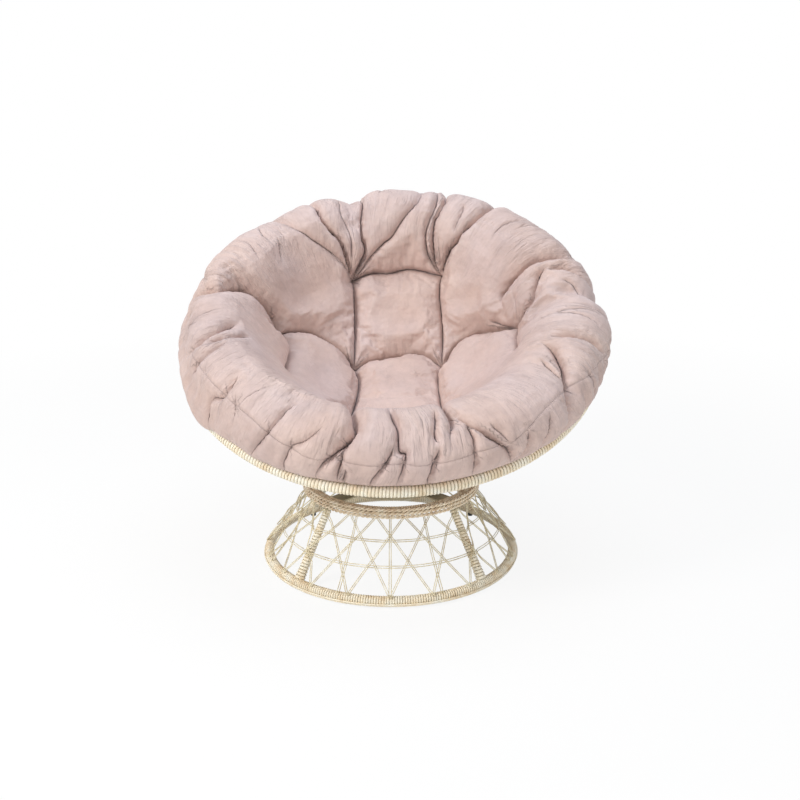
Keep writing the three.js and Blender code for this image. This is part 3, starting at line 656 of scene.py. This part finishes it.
hoopWinding = {"radius": bowl["hoopSphere"] * math.sin(hoopAngle),
               "height": bowl["centre"] - bowl["hoopSphere"] * math.cos(hoopAngle),
               "tube": 0.0052, "thick": 0.0024, "width": 0.0058, "pitch": 0.0056, "sides": 10}
ribWinding = {"tube": 0.0066, "thick": 0.0028, "width": 0.0066, "pitch": 0.0062, "sides": 10}
windRing("bowlFloorWinding", "bowl", ["bowl_floor_ring"], floorWinding, ontoBowl)
windRing("bowlHoopWinding", "bowl", ["bowl_hoop"], hoopWinding, ontoBowl)


def windRibs():
    # turns copied along one rib's arc about the sphere's centre
    start = bowl["floorAngle"] + bowl["ribStart"]
    stop = bowl["rimAngle"] - bowl["ribStop"]
    count = round((stop - start) * sphere / ribWinding["pitch"])
    for i in range(bowl["ribs"]):
        turn = oneTurn(ribWinding, (0, 0, 0))
        bpy.ops.transform.rotate(value=-math.pi / 2, orient_axis="Z", center_override=(0, 0, 0))
        bpy.ops.transform.translate(value=(0, 0, -sphere))
        bpy.ops.object.mode_set(mode="OBJECT")
        turn.data.transform(Matrix.Rotation(-start, 4, "Y"))
        editAll()
        spinCopies(count, stop - start, (0, 1, 0))
        looseTurns(turn, count, 0.014, 11 + i)
        bpy.ops.object.shade_smooth()
        swing = Matrix.Rotation(math.radians(bowl["firstRib"] + 360 / bowl["ribs"] * i), 4, "Z")
        onto = ontoBowl @ swing @ Matrix.Translation((0, 0, bowl["centre"]))
        finishStrand(turn, f"ribWinding_{i + 1}", "bowl", [f"bowl_rib_{i + 1}"], onto)


def bowlSpot(radius, polar, angle):
    return Vector((radius * math.sin(polar) * math.cos(angle), radius * math.sin(polar) * math.sin(angle),
                   bowl["centre"] - radius * math.cos(polar)))


def bowlRun(hand, shift):
    # one strand that winds from the small ring over the hoop to the rim
    low = bowl["floorAngle"] + bowl["netStart"]
    high = bowl["rimAngle"] - bowl["netStop"]
    turn = math.radians(bowl["turn"])
    run = []
    for i in range(bowl["netSteps"] + 1):
        share = i / bowl["netSteps"]
        polar = low + (high - low) * share
        end = (bowl["floorAngle"] if polar < hoopAngle else bowl["rimAngle"]) - hoopAngle
        rise = (bowl["netEnd"] - bowl["netSphere"]) * ((polar - hoopAngle) / end) ** 2
        reach = bowl["netSphere"] + rise
        out = hand * bowl["weave"] * math.sin(turn * share * bowl["crossings"])
        angle = hand * turn * (share - 0.5) + shift / (reach * math.sin(polar))
        run.append(bowlSpot(reach + out, polar, angle))
    return run


def weaveBowl():
    runs = [bowlRun(hand, shift) for hand in (1, -1) for shift in (-bowl["halfGap"], bowl["halfGap"])]
    strands = layStrands("bowlStrands", runs, bowl["strand"])
    copyRound(strands, bowl["families"])
    replaced = [f"bowl_lattice_{side}" for side in sideNames]
    finishStrand(strands, "bowlLatticeStrands", "bowl", replaced, ontoBowl, netMaterial)


windRibs()
weaveBowl()
print("bowl woven")

# Cushion: sizes are in millimetres on the cover rolled out flat from the seat's middle,
# x to the right and y to the back
cushion = {
    "crown": [[0, -140], [104, -130], [198, -94], [270, -36], [322, 23], [364, 75], [404, 110], [448, 125],
              [487, 116], [515, 90], [528, 57], [525, 31], [517, 15]],
    "seat": [[508, 14.5], [499, 7]],
    "underRadius": 597, "underEdge": 490, "puff": 6, "join": 4,
    "segments": 200, "rings": 110, "cuts": 2, "coverShare": 0.88,
    # the back stands higher, and the high parts lean to the right
    "backSwell": 0.2, "shift": 18, "shiftEdge": (364, 468), "shiftHigh": (13.5, 81),
    # where the cushion hangs over the rim at the left, in degrees from the front, and how much
    "overMiddle": -86, "overWide": 44, "overSoft": 16, "bulgeLeft": 24, "bulgeStart": (655, 712), "droop": 15,
    "tufts": [[-115, 315], [145, 320], [365, 60], [-315, 80], [-95, 65], [130, 65], [-105, -175],
              [135, -185]],
    "tuftDeep": 40, "tuftWide": 72,
    # where the roll stands out or draws in: angle from the front and width in degrees, then how far
    "swellStart": (440, 640),
    "swells": [[104, 12, -8], [150, 18, 10], [-80, 24, -6], [-118, 15, 10], [-46, 18, 8], [46, 18, 8],
               [-28, 10, 6]],
    # each crease: depth, width, then its way over the cover
    "creases": {
        "seamLeft": [24, 80, [-115, 315], [-105, 230], [-100, 165], [-95, 65], [-85, 0], [-90, -85],
                     [-105, -175]],
        "seamRight": [24, 80, [145, 320], [140, 255], [140, 165], [130, 65], [120, 5], [125, -95],
                      [135, -185]],
        "acrossTop": [42, 80, [-115, 315], [-65, 340], [-5, 345], [50, 350], [95, 340], [145, 320]],
        "acrossSeat": [38, 82, [-95, 65], [-55, 95], [10, 110], [65, 110], [100, 95], [130, 65]],
        "acrossFront": [24, 76, [-105, -175], [20, -160], [135, -185]],
        "armLeft": [36, 78, [-95, 65], [-140, 110], [-195, 130], [-245, 125], [-315, 80]],
        "armRight": [40, 78, [130, 65], [180, 115], [230, 125], [290, 105], [365, 60]],
        "downLeft": [38, 72, [-315, 80], [-285, 25], [-290, -60], [-300, -160]],
        "downRight": [38, 72, [365, 60], [360, 0], [365, -65], [380, -130]],
        "wingLeft": [50, 82, [-315, 80], [-335, 105], [-390, 120], [-445, 120], [-510, 80], [-550, 60],
                     [-590, 80], [-670, 110]],
        "wingRight": [48, 78, [345, 120], [345, 170], [380, 195], [420, 210], [455, 230], [490, 230],
                      [580, 240]],
        "earLeft": [16, 52, [-115, 315], [-165, 345], [-230, 365], [-285, 375], [-360, 400], [-430, 470]],
        "backLeft1": [30, 36, [-115, 315], [-175, 395], [-220, 420], [-255, 450], [-310, 540]],
        "backLeft2": [14, 24, [-115, 320], [-130, 370], [-145, 425], [-185, 475], [-215, 580]],
        "backLeft3": [32, 42, [-115, 315], [-105, 350], [-85, 390], [-100, 435], [-110, 480], [-140, 620]],
        "backLeft4": [22, 50, [-110, 320], [-70, 375], [-25, 415], [10, 440], [65, 525], [80, 620]],
        "backRight1": [28, 40, [145, 320], [135, 360], [135, 400], [140, 465], [155, 510], [165, 620]],
        "backRight2": [22, 32, [140, 330], [115, 380], [110, 425], [120, 460], [130, 505], [125, 600]],
        "backRight3": [30, 50, [150, 325], [180, 360], [230, 395], [270, 430], [300, 475], [370, 580]],
        "backRight4": [10, 20, [210, 405], [225, 460], [220, 495]],
        "earRight1": [26, 50, [365, 60], [420, 80], [450, 115], [465, 155], [495, 185]],
        "earRight2": [44, 54, [475, 160], [525, 165], [560, 140], [660, 110]],
        "earRight3": [14, 24, [510, 100], [535, 90], [570, 50]],
        "nickRight": [20, 30, [285, 135], [320, 100], [360, 60]],
        "foldRight": [26, 34, [460, -170], [480, -175], [535, -180], [600, -190]],
        "foldLeft1": [26, 34, [-620, -190], [-570, -170], [-530, -150], [-500, -125], [-465, -90]],
        "foldLeft2": [20, 28, [-560, -200], [-515, -185], [-475, -175], [-430, -135]],
        "foldLeft3": [14, 36, [-610, -260], [-570, -245], [-530, -230], [-480, -205]],
        "frontLeft1": [44, 50, [-105, -175], [-105, -300], [-110, -430], [-110, -525], [-135, -570],
                       [-170, -600], [-205, -625], [-225, -700]],
        "frontLeft2": [24, 26, [-110, -470], [-120, -550], [-145, -600], [-155, -635], [-150, -700]],
        "frontLeft3": [16, 18, [-175, -615], [-150, -600], [-140, -575]],
        "front1": [18, 24, [-135, -630], [-135, -710]],
        "front2": [18, 22, [-10, -580], [-25, -620], [-50, -655], [-60, -710]],
        "front3": [24, 30, [-5, -460], [0, -580], [5, -605], [20, -610], [15, -645], [20, -710]],
        "lowLeft1": [13, 38, [-435, -330], [-450, -360], [-475, -385], [-520, -370], [-535, -400],
                     [-545, -450]],
        "lowLeft2": [12, 34, [-270, -440], [-300, -465], [-330, -505], [-375, -535], [-410, -570]],
        "lowLeft3": [12, 32, [-190, -530], [-240, -555], [-275, -560], [-300, -590], [-305, -650]],
        "frontRight1": [34, 42, [135, -185], [140, -300], [145, -420], [150, -500], [135, -560], [135, -610]],
        "frontRight2": [22, 28, [110, -490], [95, -555], [105, -595]],
        "frontRight3": [22, 26, [105, -585], [105, -605], [95, -640], [120, -710]],
        "frontRight4": [28, 34, [160, -490], [185, -515], [225, -535], [270, -555], [320, -580], [365, -600]],
        "frontRight5": [18, 30, [170, -500], [195, -555], [205, -600], [245, -660]],
        "frontRight6": [12, 26, [245, -510], [275, -530], [300, -550]],
        "lowRight1": [18, 32, [340, -505], [355, -535], [360, -600]],
        "lowRight2": [12, 30, [395, -445], [405, -475], [410, -560]],
        "cleftRight": [44, 54, [440, -180], [455, -225], [460, -300], [460, -355], [465, -405], [490, -480]],
        "cleftRight2": [16, 32, [425, -265], [440, -330], [455, -360]],
    },
    "seam": [[-600, -170], [-565, -250], [-465, -385], [-350, -500], [-280, -560], [-215, -600], [-130, -620],
             [-70, -630], [-5, -630], [60, -630], [120, -620], [200, -590], [305, -540], [380, -455],
             [450, -375], [520, -310], [575, -230], [620, -155], [650, 0]],
    # broad dips with no sharp bottom
    "dips": {
        "leftPanel": [13, 60, [-425, 340], [-340, 315], [-300, 285], [-270, 250], [-285, 215], [-310, 175],
                      [-325, 120]],
        "leftPanel2": [6, 34, [-150, 300], [-230, 300], [-300, 350]],
        "rightPanel": [8, 44, [175, 300], [250, 330], [330, 420]],
        "rightPanel2": [7, 40, [150, 260], [215, 215], [300, 200]],
        "centrePanel": [5, 36, [-60, 250], [10, 190], [80, 230]],
        "lowPanel": [5, 40, [-50, 0], [20, 40], [90, -20]],
        "notchRight": [30, 52, [480, 60], [600, 50], [730, 40]],
        "notchTop": [24, 58, [-110, 400], [-150, 520], [-180, 700]],
    },
    # folds that fan out from a tuft: tuft, first and last direction, how many, how long
    "fans": [[0, 62, 165, 9, 130], [1, 20, 118, 8, 140], [2, -40, 60, 7, 120], [3, 130, 235, 7, 120],
             [4, 60, 150, 4, 70], [5, 30, 120, 4, 70], [6, 225, 300, 5, 110], [7, 240, 320, 5, 110]],
}
# gathers where the cover is drawn in round the edge, with the lengths at which they end and are gone
gathers = {"count": 64, "deep": (3, 11), "wide": (10, 20), "reach": (30, 110), "slant": 0.25,
           "middle": 640, "spread": 520, "round": 535, "end": 700, "gone": 760, "frontCalm": 0.35}
# folds over the roll at the sides and back, and short ones down its outside
pleats = {"count": 90, "deep": (3, 9), "wide": (13, 26), "inner": (430, 600), "outer": (590, 650),
          "reach": (60, 220), "end": 714, "tracedFrom": 400, "clear": 26}
# air in the cover: voxel and greatest move in metres, simulated steps, pressure,
# and how wide the tufts and seams hold the cover in millimetres
filling = {"voxel": 0.011, "frames": 16, "pressure": 4.0, "cap": 0.016, "tuftHold": 18, "seamHold": 8,
           "seams": ("seamLeft", "seamRight", "acrossTop", "acrossSeat", "armLeft", "armRight")}
# drawn-in lines: how deep and wide a fold's bottom, the seam and a tuft cut in, and the waves beside them
stitches = {"foldDeep": 8, "foldWide": 5.6, "fullFold": 32, "ruffle": 26, "ruffleWide": 16, "pace": (15, 24),
            "seamDeep": 1.2, "seamWide": 4.5, "seamPower": 0.32, "steep": 0.6, "leaning": 1.35,
            "tuftDeep": 9, "tuftWide": 8, "tuftFolds": 9, "tuftRuffle": 2.0, "tuftReach": 34,
            "waves": 2.6, "waveSize": 62, "ruffleMost": 3, "outsideRim": (0.5345, 0.5385)}


def splineThrough(points, parts):
    points = np.array(points, float)
    ends = np.vstack([2 * points[0] - points[1], points, 2 * points[-1] - points[-2]])
    out = []
    for a, b, c, d in zip(ends, ends[1:], ends[2:], ends[3:]):
        for u in np.arange(parts) / parts:
            curved = 2 * b + (c - a) * u + (2 * a - 5 * b + 4 * c - d) * u * u
            out.append(0.5 * (curved + (3 * b - a - 3 * c + d) * u ** 3))
    out.append(ends[-2])
    return np.array(out)


def lengthsOf(path):
    return np.r_[0, np.cumsum(np.hypot(*np.diff(path, axis=0).T))]


def easeIn(x, low, high):
    u = np.clip((x - low) / (high - low), 0, 1)
    return u * u * (3 - 2 * u)


def halfTurn(angle):
    # the same angle within half a turn of nought
    return (angle + math.pi) % (2 * math.pi) - math.pi


def valley(share):
    # full at its bottom, and rounding off into the puff beside it
    return 1 - np.sqrt(1 - (1 - np.clip(share, 0, 1)) ** 2)


def underCurve():
    # the underside lies a little inside the ribs' sphere
    radius = cushion["underRadius"]
    centre = 1000 * bowl["centre"]
    first = math.asin(cushion["underEdge"] / radius)
    arc = [[radius * math.sin(a), centre - radius * math.cos(a)] for a in np.linspace(first, 0, 40)]
    return np.array(cushion["seat"] + arc)


crownCurve = splineThrough(cushion["crown"], 24)
crownEnd = lengthsOf(crownCurve)[-1]
wholeCurve = np.vstack([crownCurve, underCurve()])
wholeLength = lengthsOf(wholeCurve)


def overLeft(angle):
    # where the cushion hangs over the rim at the left
    turned = halfTurn(angle - math.radians(cushion["overMiddle"]))
    return easeIn(math.radians(cushion["overWide"]) - np.abs(turned), 0, math.radians(cushion["overSoft"]))


def coverPlace(length, angle):
    # plain cover with no folds: length out from the seat's middle, angle round from the front
    radius = np.interp(length, wholeLength, wholeCurve[:, 0])
    height = np.interp(length, wholeLength, wholeCurve[:, 1])
    back = (1 - np.cos(angle)) / 2
    proud = np.maximum(height, 0)
    edge = easeIn(radius, *cushion["shiftEdge"])
    lifted = height + proud * cushion["backSwell"] * back * back
    aside = cushion["shift"] * easeIn(proud, *cushion["shiftHigh"]) * edge
    low = easeIn(crownEnd + 16 - length, 0, 12)
    radius = radius + cushion["bulgeLeft"] * overLeft(angle) * easeIn(length, *cushion["bulgeStart"]) * low
    swellShare = easeIn(length, *cushion["swellStart"])
    for at, wide, much in cushion["swells"]:
        off = (np.degrees(angle) - at + 180) % 360 - 180
        radius = radius + much * np.exp(-(off / wide) ** 2) * swellShare * low
    return np.stack([radius * np.sin(angle) + aside, -radius * np.cos(angle), lifted], axis=-1)


def coverNormal(length, angle):
    step = 1.0
    spin = 0.002
    along = coverPlace(length + step, angle) - coverPlace(np.maximum(length - step, 0), angle)
    outer = np.maximum(length, 2.0)
    across = coverPlace(outer, angle + spin) - coverPlace(outer, angle - spin)
    facing = np.cross(along, across)
    facing /= np.maximum(np.linalg.norm(facing, axis=1, keepdims=True), 1e-9)
    return facing


def awayFrom(flat, spot):
    return np.hypot(flat[:, 0] - spot[0], flat[:, 1] - spot[1])


def wayOff(flat, points, reach):
    # cover points near a crease, their distance from it, how far along it they lie, their side, its length
    path = splineThrough(points, 5)
    inside = np.all((flat > path.min(axis=0) - reach) & (flat < path.max(axis=0) + reach), axis=1)
    near = np.nonzero(inside)[0]
    spots = flat[near]
    lengths = lengthsOf(path)
    nearest = np.full(len(spots), 1e9)
    share = np.zeros(len(spots))
    side = np.zeros(len(spots))
    for a, b, start in zip(path, path[1:], lengths):
        span = b - a
        size = max(float(span @ span), 1e-9)
        off = spots - a
        u = np.clip((off @ span) / size, 0, 1)
        gap = np.hypot(*(off - u[:, None] * span).T)
        closer = gap < nearest
        nearest[closer] = gap[closer]
        share[closer] = (start + u[closer] * math.sqrt(size)) / lengths[-1]
        side[closer] = np.sign(span[0] * off[closer, 1] - span[1] * off[closer, 0])
    return near, nearest, share, side, lengths[-1]


def atTuft(point):
    return any(math.dist(point, tuft) < 12 for tuft in cushion["tufts"])


def endsOf(points, share, opening, closing):
    # a crease fades at its ends, but not at a tuft
    start = 1.0 if atTuft(points[0]) else easeIn(share, 0, opening)
    stop = 1.0 if atTuft(points[-1]) else easeIn(1 - share, 0, closing)
    return start * stop


def hollows(flat):
    # how deep the cover lies below its puffs, joined smoothly where hollows meet
    total = np.zeros(len(flat))
    join = cushion["join"]
    for tuft in cushion["tufts"]:
        total += (cushion["tuftDeep"] * valley(awayFrom(flat, tuft) / cushion["tuftWide"])) ** join
    for deep, wide, *points in cushion["creases"].values():
        near, gap, share = wayOff(flat, points, wide)[:3]
        total[near] += (deep * endsOf(points, share, 0.25, 0.3) * valley(gap / wide)) ** join
    for deep, wide, *points in cushion["dips"].values():
        near, gap, share = wayOff(flat, points, 2 * wide)[:3]
        ends = easeIn(share, 0, 0.2) * easeIn(1 - share, 0, 0.2)
        total[near] += (deep * np.exp(-(gap / wide) ** 2) * ends) ** join
    return total ** (1 / join)


def hemFolds(length, angle):
    # the same on each run
    chance = np.random.default_rng(5)
    total = np.zeros(len(length))
    end = gathers["end"]
    for i in range(gathers["count"]):
        at = 2 * math.pi * (i + chance.uniform(-0.3, 0.3)) / gathers["count"]
        deep = chance.uniform(*gathers["deep"])
        wide = chance.uniform(*gathers["wide"])
        reach = chance.uniform(*gathers["reach"])
        slant = chance.uniform(-gathers["slant"], gathers["slant"])
        middle = at + slant * (length - gathers["middle"]) / gathers["spread"]
        gap = np.abs(halfTurn(angle - middle)) * gathers["round"]
        calm = gathers["frontCalm"] if math.cos(at) > 0.75 else 1.0
        fade = calm * easeIn(length, end - reach, end - 0.5 * reach) * easeIn(gathers["gone"] - length, 0, 40)
        total = np.maximum(total, deep * fade * np.exp(-(gap / wide) ** 2))
    return total


def shapeCushion():
    deselectAll()
    bpy.ops.mesh.primitive_uv_sphere_add(segments=cushion["segments"], ring_count=cushion["rings"], radius=1)
    pad = bpy.context.object
    pad.name = "cushionPad"
    editAll()
    bpy.ops.mesh.subdivide(number_cuts=cushion["cuts"])
    bpy.ops.object.mode_set(mode="OBJECT")
    ball = spotsOf(pad)
    ball /= np.linalg.norm(ball, axis=1, keepdims=True)
    polar = np.arccos(np.clip(ball[:, 2], -1, 1))
    angle = np.arctan2(ball[:, 0], -ball[:, 1])
    # most of the rings lie on the cover that shows
    length = np.interp(polar / math.pi, [0, cushion["coverShare"], 1], [0, crownEnd + 40, wholeLength[-1]])
    plain = coverPlace(length, angle)
    facing = coverNormal(length, angle)
    flat = np.stack([length * np.sin(angle), -length * np.cos(angle)], axis=-1)
    top = easeIn(crownEnd + 6 - length, 0, 40)
    push = (cushion["puff"] - hollows(flat) - hemFolds(length, angle)) * top
    putSpots(pad, (plain + facing * push[:, None]) / 1000)
    # each point keeps its place on the rolled-out cover
    marks = pad.data.attributes.new("coverPlace", "FLOAT_VECTOR", "POINT")
    values = np.zeros((len(length), 3))
    values[:, :2] = flat
    marks.data.foreach_set("vector", values.ravel())
    return pad


def coverOf(pad):
    values = np.zeros(len(pad.data.vertices) * 3)
    pad.data.attributes["coverPlace"].data.foreach_get("vector", values)
    return values.reshape(-1, 3)[:, :2]


def nearestTo(places, spots, count):
    tree = kdtree.KDTree(len(places))
    for i, place in enumerate(places):
        tree.insert(place, i)
    tree.balance()
    found = np.zeros((len(spots), count), int)
    gaps = np.zeros((len(spots), count))
    for i, spot in enumerate(spots):
        for j, (_, index, gap) in enumerate(tree.find_n(spot, count)):
            found[i, j] = index
            gaps[i, j] = gap
    return found, gaps


def heldShare(flat):
    # how firmly each point is held: the tufts, the seams between them, and the cover's edge
    held = np.zeros(len(flat))
    for tuft in cushion["tufts"]:
        held = np.maximum(held, np.clip(1.6 - awayFrom(flat, tuft) / filling["tuftHold"], 0, 1))
    for name in filling["seams"]:
        near, gap = wayOff(flat, cushion["creases"][name][2:], 14)[:2]
        held[near] = np.maximum(held[near], np.clip(1.5 - gap / filling["seamHold"], 0, 1) * 0.8)
    return np.maximum(held, np.clip((np.hypot(*flat.T) - crownEnd + 60) / 30, 0, 1))


def fillCushion(pad):
    # a coarser copy swells between the places that hold it, and the cover follows
    pick(pad)
    bpy.ops.object.duplicate()
    copy = bpy.context.object
    copy.data.remesh_voxel_size = filling["voxel"]
    bpy.ops.object.voxel_remesh()
    before = spotsOf(copy)
    fine = spotsOf(pad)
    found = nearestTo(fine, before, 1)[0]
    held = heldShare(coverOf(pad)[found[:, 0]])
    group = copy.vertex_groups.new(name="held")
    for level in range(1, 11):
        chosen = np.nonzero(np.round(held * 10) == level)[0].tolist()
        if chosen:
            group.add(chosen, level / 10, "REPLACE")
    cloth = copy.modifiers.new("air", "CLOTH")
    settings = cloth.settings
    settings.quality = 3
    settings.mass = 0.25
    settings.tension_stiffness = 12
    settings.compression_stiffness = 6
    settings.shear_stiffness = 5
    settings.bending_stiffness = 0.15
    settings.air_damping = 2
    settings.use_pressure = True
    settings.uniform_pressure_force = filling["pressure"]
    settings.shrink_min = -0.05
    settings.vertex_group_mass = "held"
    settings.effector_weights.gravity = 0
    cloth.point_cache.frame_start = 1
    cloth.point_cache.frame_end = filling["frames"]
    for step in range(1, filling["frames"] + 1):
        bpy.context.scene.frame_set(step)
    swollen = copy.evaluated_get(bpy.context.evaluated_depsgraph_get())
    after = spotsOf(swollen)
    bpy.context.scene.frame_set(1)
    move = after - before
    bpy.data.objects.remove(copy)
    size = np.linalg.norm(move, axis=1, keepdims=True)
    move *= np.minimum(1, filling["cap"] / np.maximum(size, 1e-9))
    found, gaps = nearestTo(before, fine, 4)
    weight = 1 / (gaps + 0.002) ** 2
    weight /= weight.sum(axis=1, keepdims=True)
    putSpots(pad, fine + (move[found] * weight[:, :, None]).sum(axis=1))
    print(f"cushion filled, mean move {size.mean() * 1000:.1f} mm, most {size.max() * 1000:.1f} mm")


def pleatRuns():
    # folds that the traced ones leave out
    chance = np.random.default_rng(23)
    traced = []
    for crease in cushion["creases"].values():
        traced += [spot for spot in splineThrough(crease[2:], 3) if math.hypot(*spot) > pleats["tracedFrom"]]
    runs = []
    for i in range(pleats["count"]):
        angle = 2 * math.pi * (i + chance.uniform(-0.35, 0.35)) / pleats["count"]
        back = (1 - math.cos(angle)) / 2
        start = chance.uniform(*pleats["inner"]) if back > 0.12 else chance.uniform(*pleats["outer"])
        short, long = pleats["reach"]
        stop = min(chance.uniform(start + short, start + long), pleats["end"])
        bend = chance.uniform(-0.1, 0.1)
        swing = chance.uniform(-0.05, 0.05)
        points = []
        for u in np.linspace(0, 1, 5):
            at = angle + bend * u + swing * math.sin(math.pi * u)
            length = start + (stop - start) * u
            points.append([length * math.sin(at), -length * math.cos(at)])
        deep = chance.uniform(*pleats["deep"])
        wide = chance.uniform(*pleats["wide"])
        clear = min(math.dist(point, spot) for point in points for spot in traced)
        if clear > pleats["clear"]:
            runs.append([deep, wide, *points])
    return runs


def fanRuns():
    # small folds drawn together at each tuft
    chance = np.random.default_rng(31)
    runs = []
    for tuft, first, last, count, reach in cushion["fans"]:
        x, y = cushion["tufts"][tuft]
        for i in range(count):
            way = math.radians(first + (last - first) * (i + chance.uniform(0.1, 0.9)) / count)
            bend = chance.uniform(-0.5, 0.5)
            size = reach * chance.uniform(0.45, 1.1)
            points = []
            for u in np.linspace(0.05, 1, 5):
                at = way + bend * u
                points.append([x + size * u * math.cos(at), y + size * u * math.sin(at)])
            runs.append([chance.uniform(3, 8), chance.uniform(10, 19), *points])
    return runs


def stitchCushion(pad):
    # the seams, their gathers and the sharp bottoms of the folds
    flat = coverOf(pad)
    length = np.hypot(*flat.T)
    angle = np.arctan2(flat[:, 0], -flat[:, 1])
    facing = coverNormal(length, angle)
    drop = np.zeros(len(flat))
    ruffle = np.zeros(len(flat))
    # each point's signed distance to its nearest fold, that distance, and the fold's strength, read by the cloth's
    # painted fold shade and its raised lips
    lines = np.zeros((len(flat), 3))
    lines[:, :2] = 30
    chance = np.random.default_rng(17)

    def drawLine(near, gap, side, power):
        closer = gap < lines[near, 1]
        chosen = near[closer]
        lines[chosen, 0] = (gap * side)[closer]
        lines[chosen, 1] = gap[closer]
        lines[chosen, 2] = power[closer]

    for deep, wide, *points in cushion["creases"].values():
        near, gap, share, side, full = wayOff(flat, points, 46)
        ends = np.ones(len(gap)) * endsOf(points, share, 0.2, 0.25)
        sharp = min(1.0, deep / stitches["fullFold"]) * ends
        cut = stitches["foldDeep"] * sharp * np.exp(-(gap / stitches["foldWide"]) ** 2)
        drop[near] = np.maximum(drop[near], cut)
        drawLine(near, gap, side, (0.25 + 0.75 * min(1.0, deep / 30)) * ends)
        phase = chance.uniform(0, 6)
        pace = chance.uniform(*stitches["pace"])
        swing = np.sin(2 * math.pi * share * full / pace + phase + 1.7 * np.sin(share * full / 31 + phase))
        fade = np.exp(-gap / stitches["ruffleWide"]) * easeIn(gap, 0, 8)
        ruffle[near] += deep / stitches["ruffle"] * ends * swing * fade
    runs = [(0.35, run) for run in pleatRuns()] + [(0.05, run) for run in fanRuns()]
    for opening, (deep, wide, *points) in runs:
        # one side of a fold is steep, the other leans into it
        near, gap, share, side = wayOff(flat, points, 1.5 * wide)[:4]
        ends = easeIn(share, 0, opening) * easeIn(1 - share, 0, 0.5)
        half = wide * np.where(side > 0, stitches["steep"], stitches["leaning"])
        drop[near] = np.maximum(drop[near], deep * ends * valley(gap / half))
        drawLine(near, gap, side, min(0.5, 0.07 * deep) * ends)
    near, gap, share, side = wayOff(flat, cushion["seam"], 16)[:4]
    drop[near] += stitches["seamDeep"] * np.exp(-(gap / stitches["seamWide"]) ** 2)
    drawLine(near, gap, side, np.full(len(gap), stitches["seamPower"]))
    for x, y in cushion["tufts"]:
        gap = awayFrom(flat, (x, y))
        turn = np.arctan2(flat[:, 1] - y, flat[:, 0] - x)
        drop = np.maximum(drop, stitches["tuftDeep"] * np.exp(-(gap / stitches["tuftWide"]) ** 2))
        swing = np.sin(stitches["tuftFolds"] * turn + chance.uniform(0, 6)) * easeIn(gap, 4, 18)
        ruffle += stitches["tuftRuffle"] * np.exp(-gap / stitches["tuftReach"]) * swing
    top = easeIn(crownEnd + 6 - length, 0, 20)
    spots = spotsOf(pad)
    places = np.column_stack([flat / stitches["waveSize"], spots[:, 2] * 9])
    wavy = np.array([noise.noise(Vector(place)) for place in places])
    most = stitches["ruffleMost"]
    push = (ruffle.clip(-most, most) - drop + stitches["waves"] * wavy) * top
    spots = spots + facing * push[:, None] / 1000
    # the edge hangs down outside the rim at the left
    radius = np.hypot(spots[:, 0], spots[:, 1])
    outside = easeIn(radius, *stitches["outsideRim"]) * overLeft(angle) * easeIn(0.085 - spots[:, 2], 0, 0.07)
    spots[:, 2] -= cushion["droop"] / 1000 * outside
    putSpots(pad, spots)
    lines[:, 2] *= top
    fold = pad.data.attributes.new("fold", "FLOAT_VECTOR", "POINT")
    fold.data.foreach_set("vector", lines.ravel())


pad = shapeCushion()
fillCushion(pad)
stitchCushion(pad)
pick(pad)
bpy.ops.object.shade_smooth()
pad.matrix_world = ontoBowl
settle(pad)
paint(pad, fabricMaterial)
pad.vertex_groups.clear()
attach(pad, "cushion")
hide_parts("cushion")
print("cushion made", len(pad.data.polygons), "faces")

deselectAll()
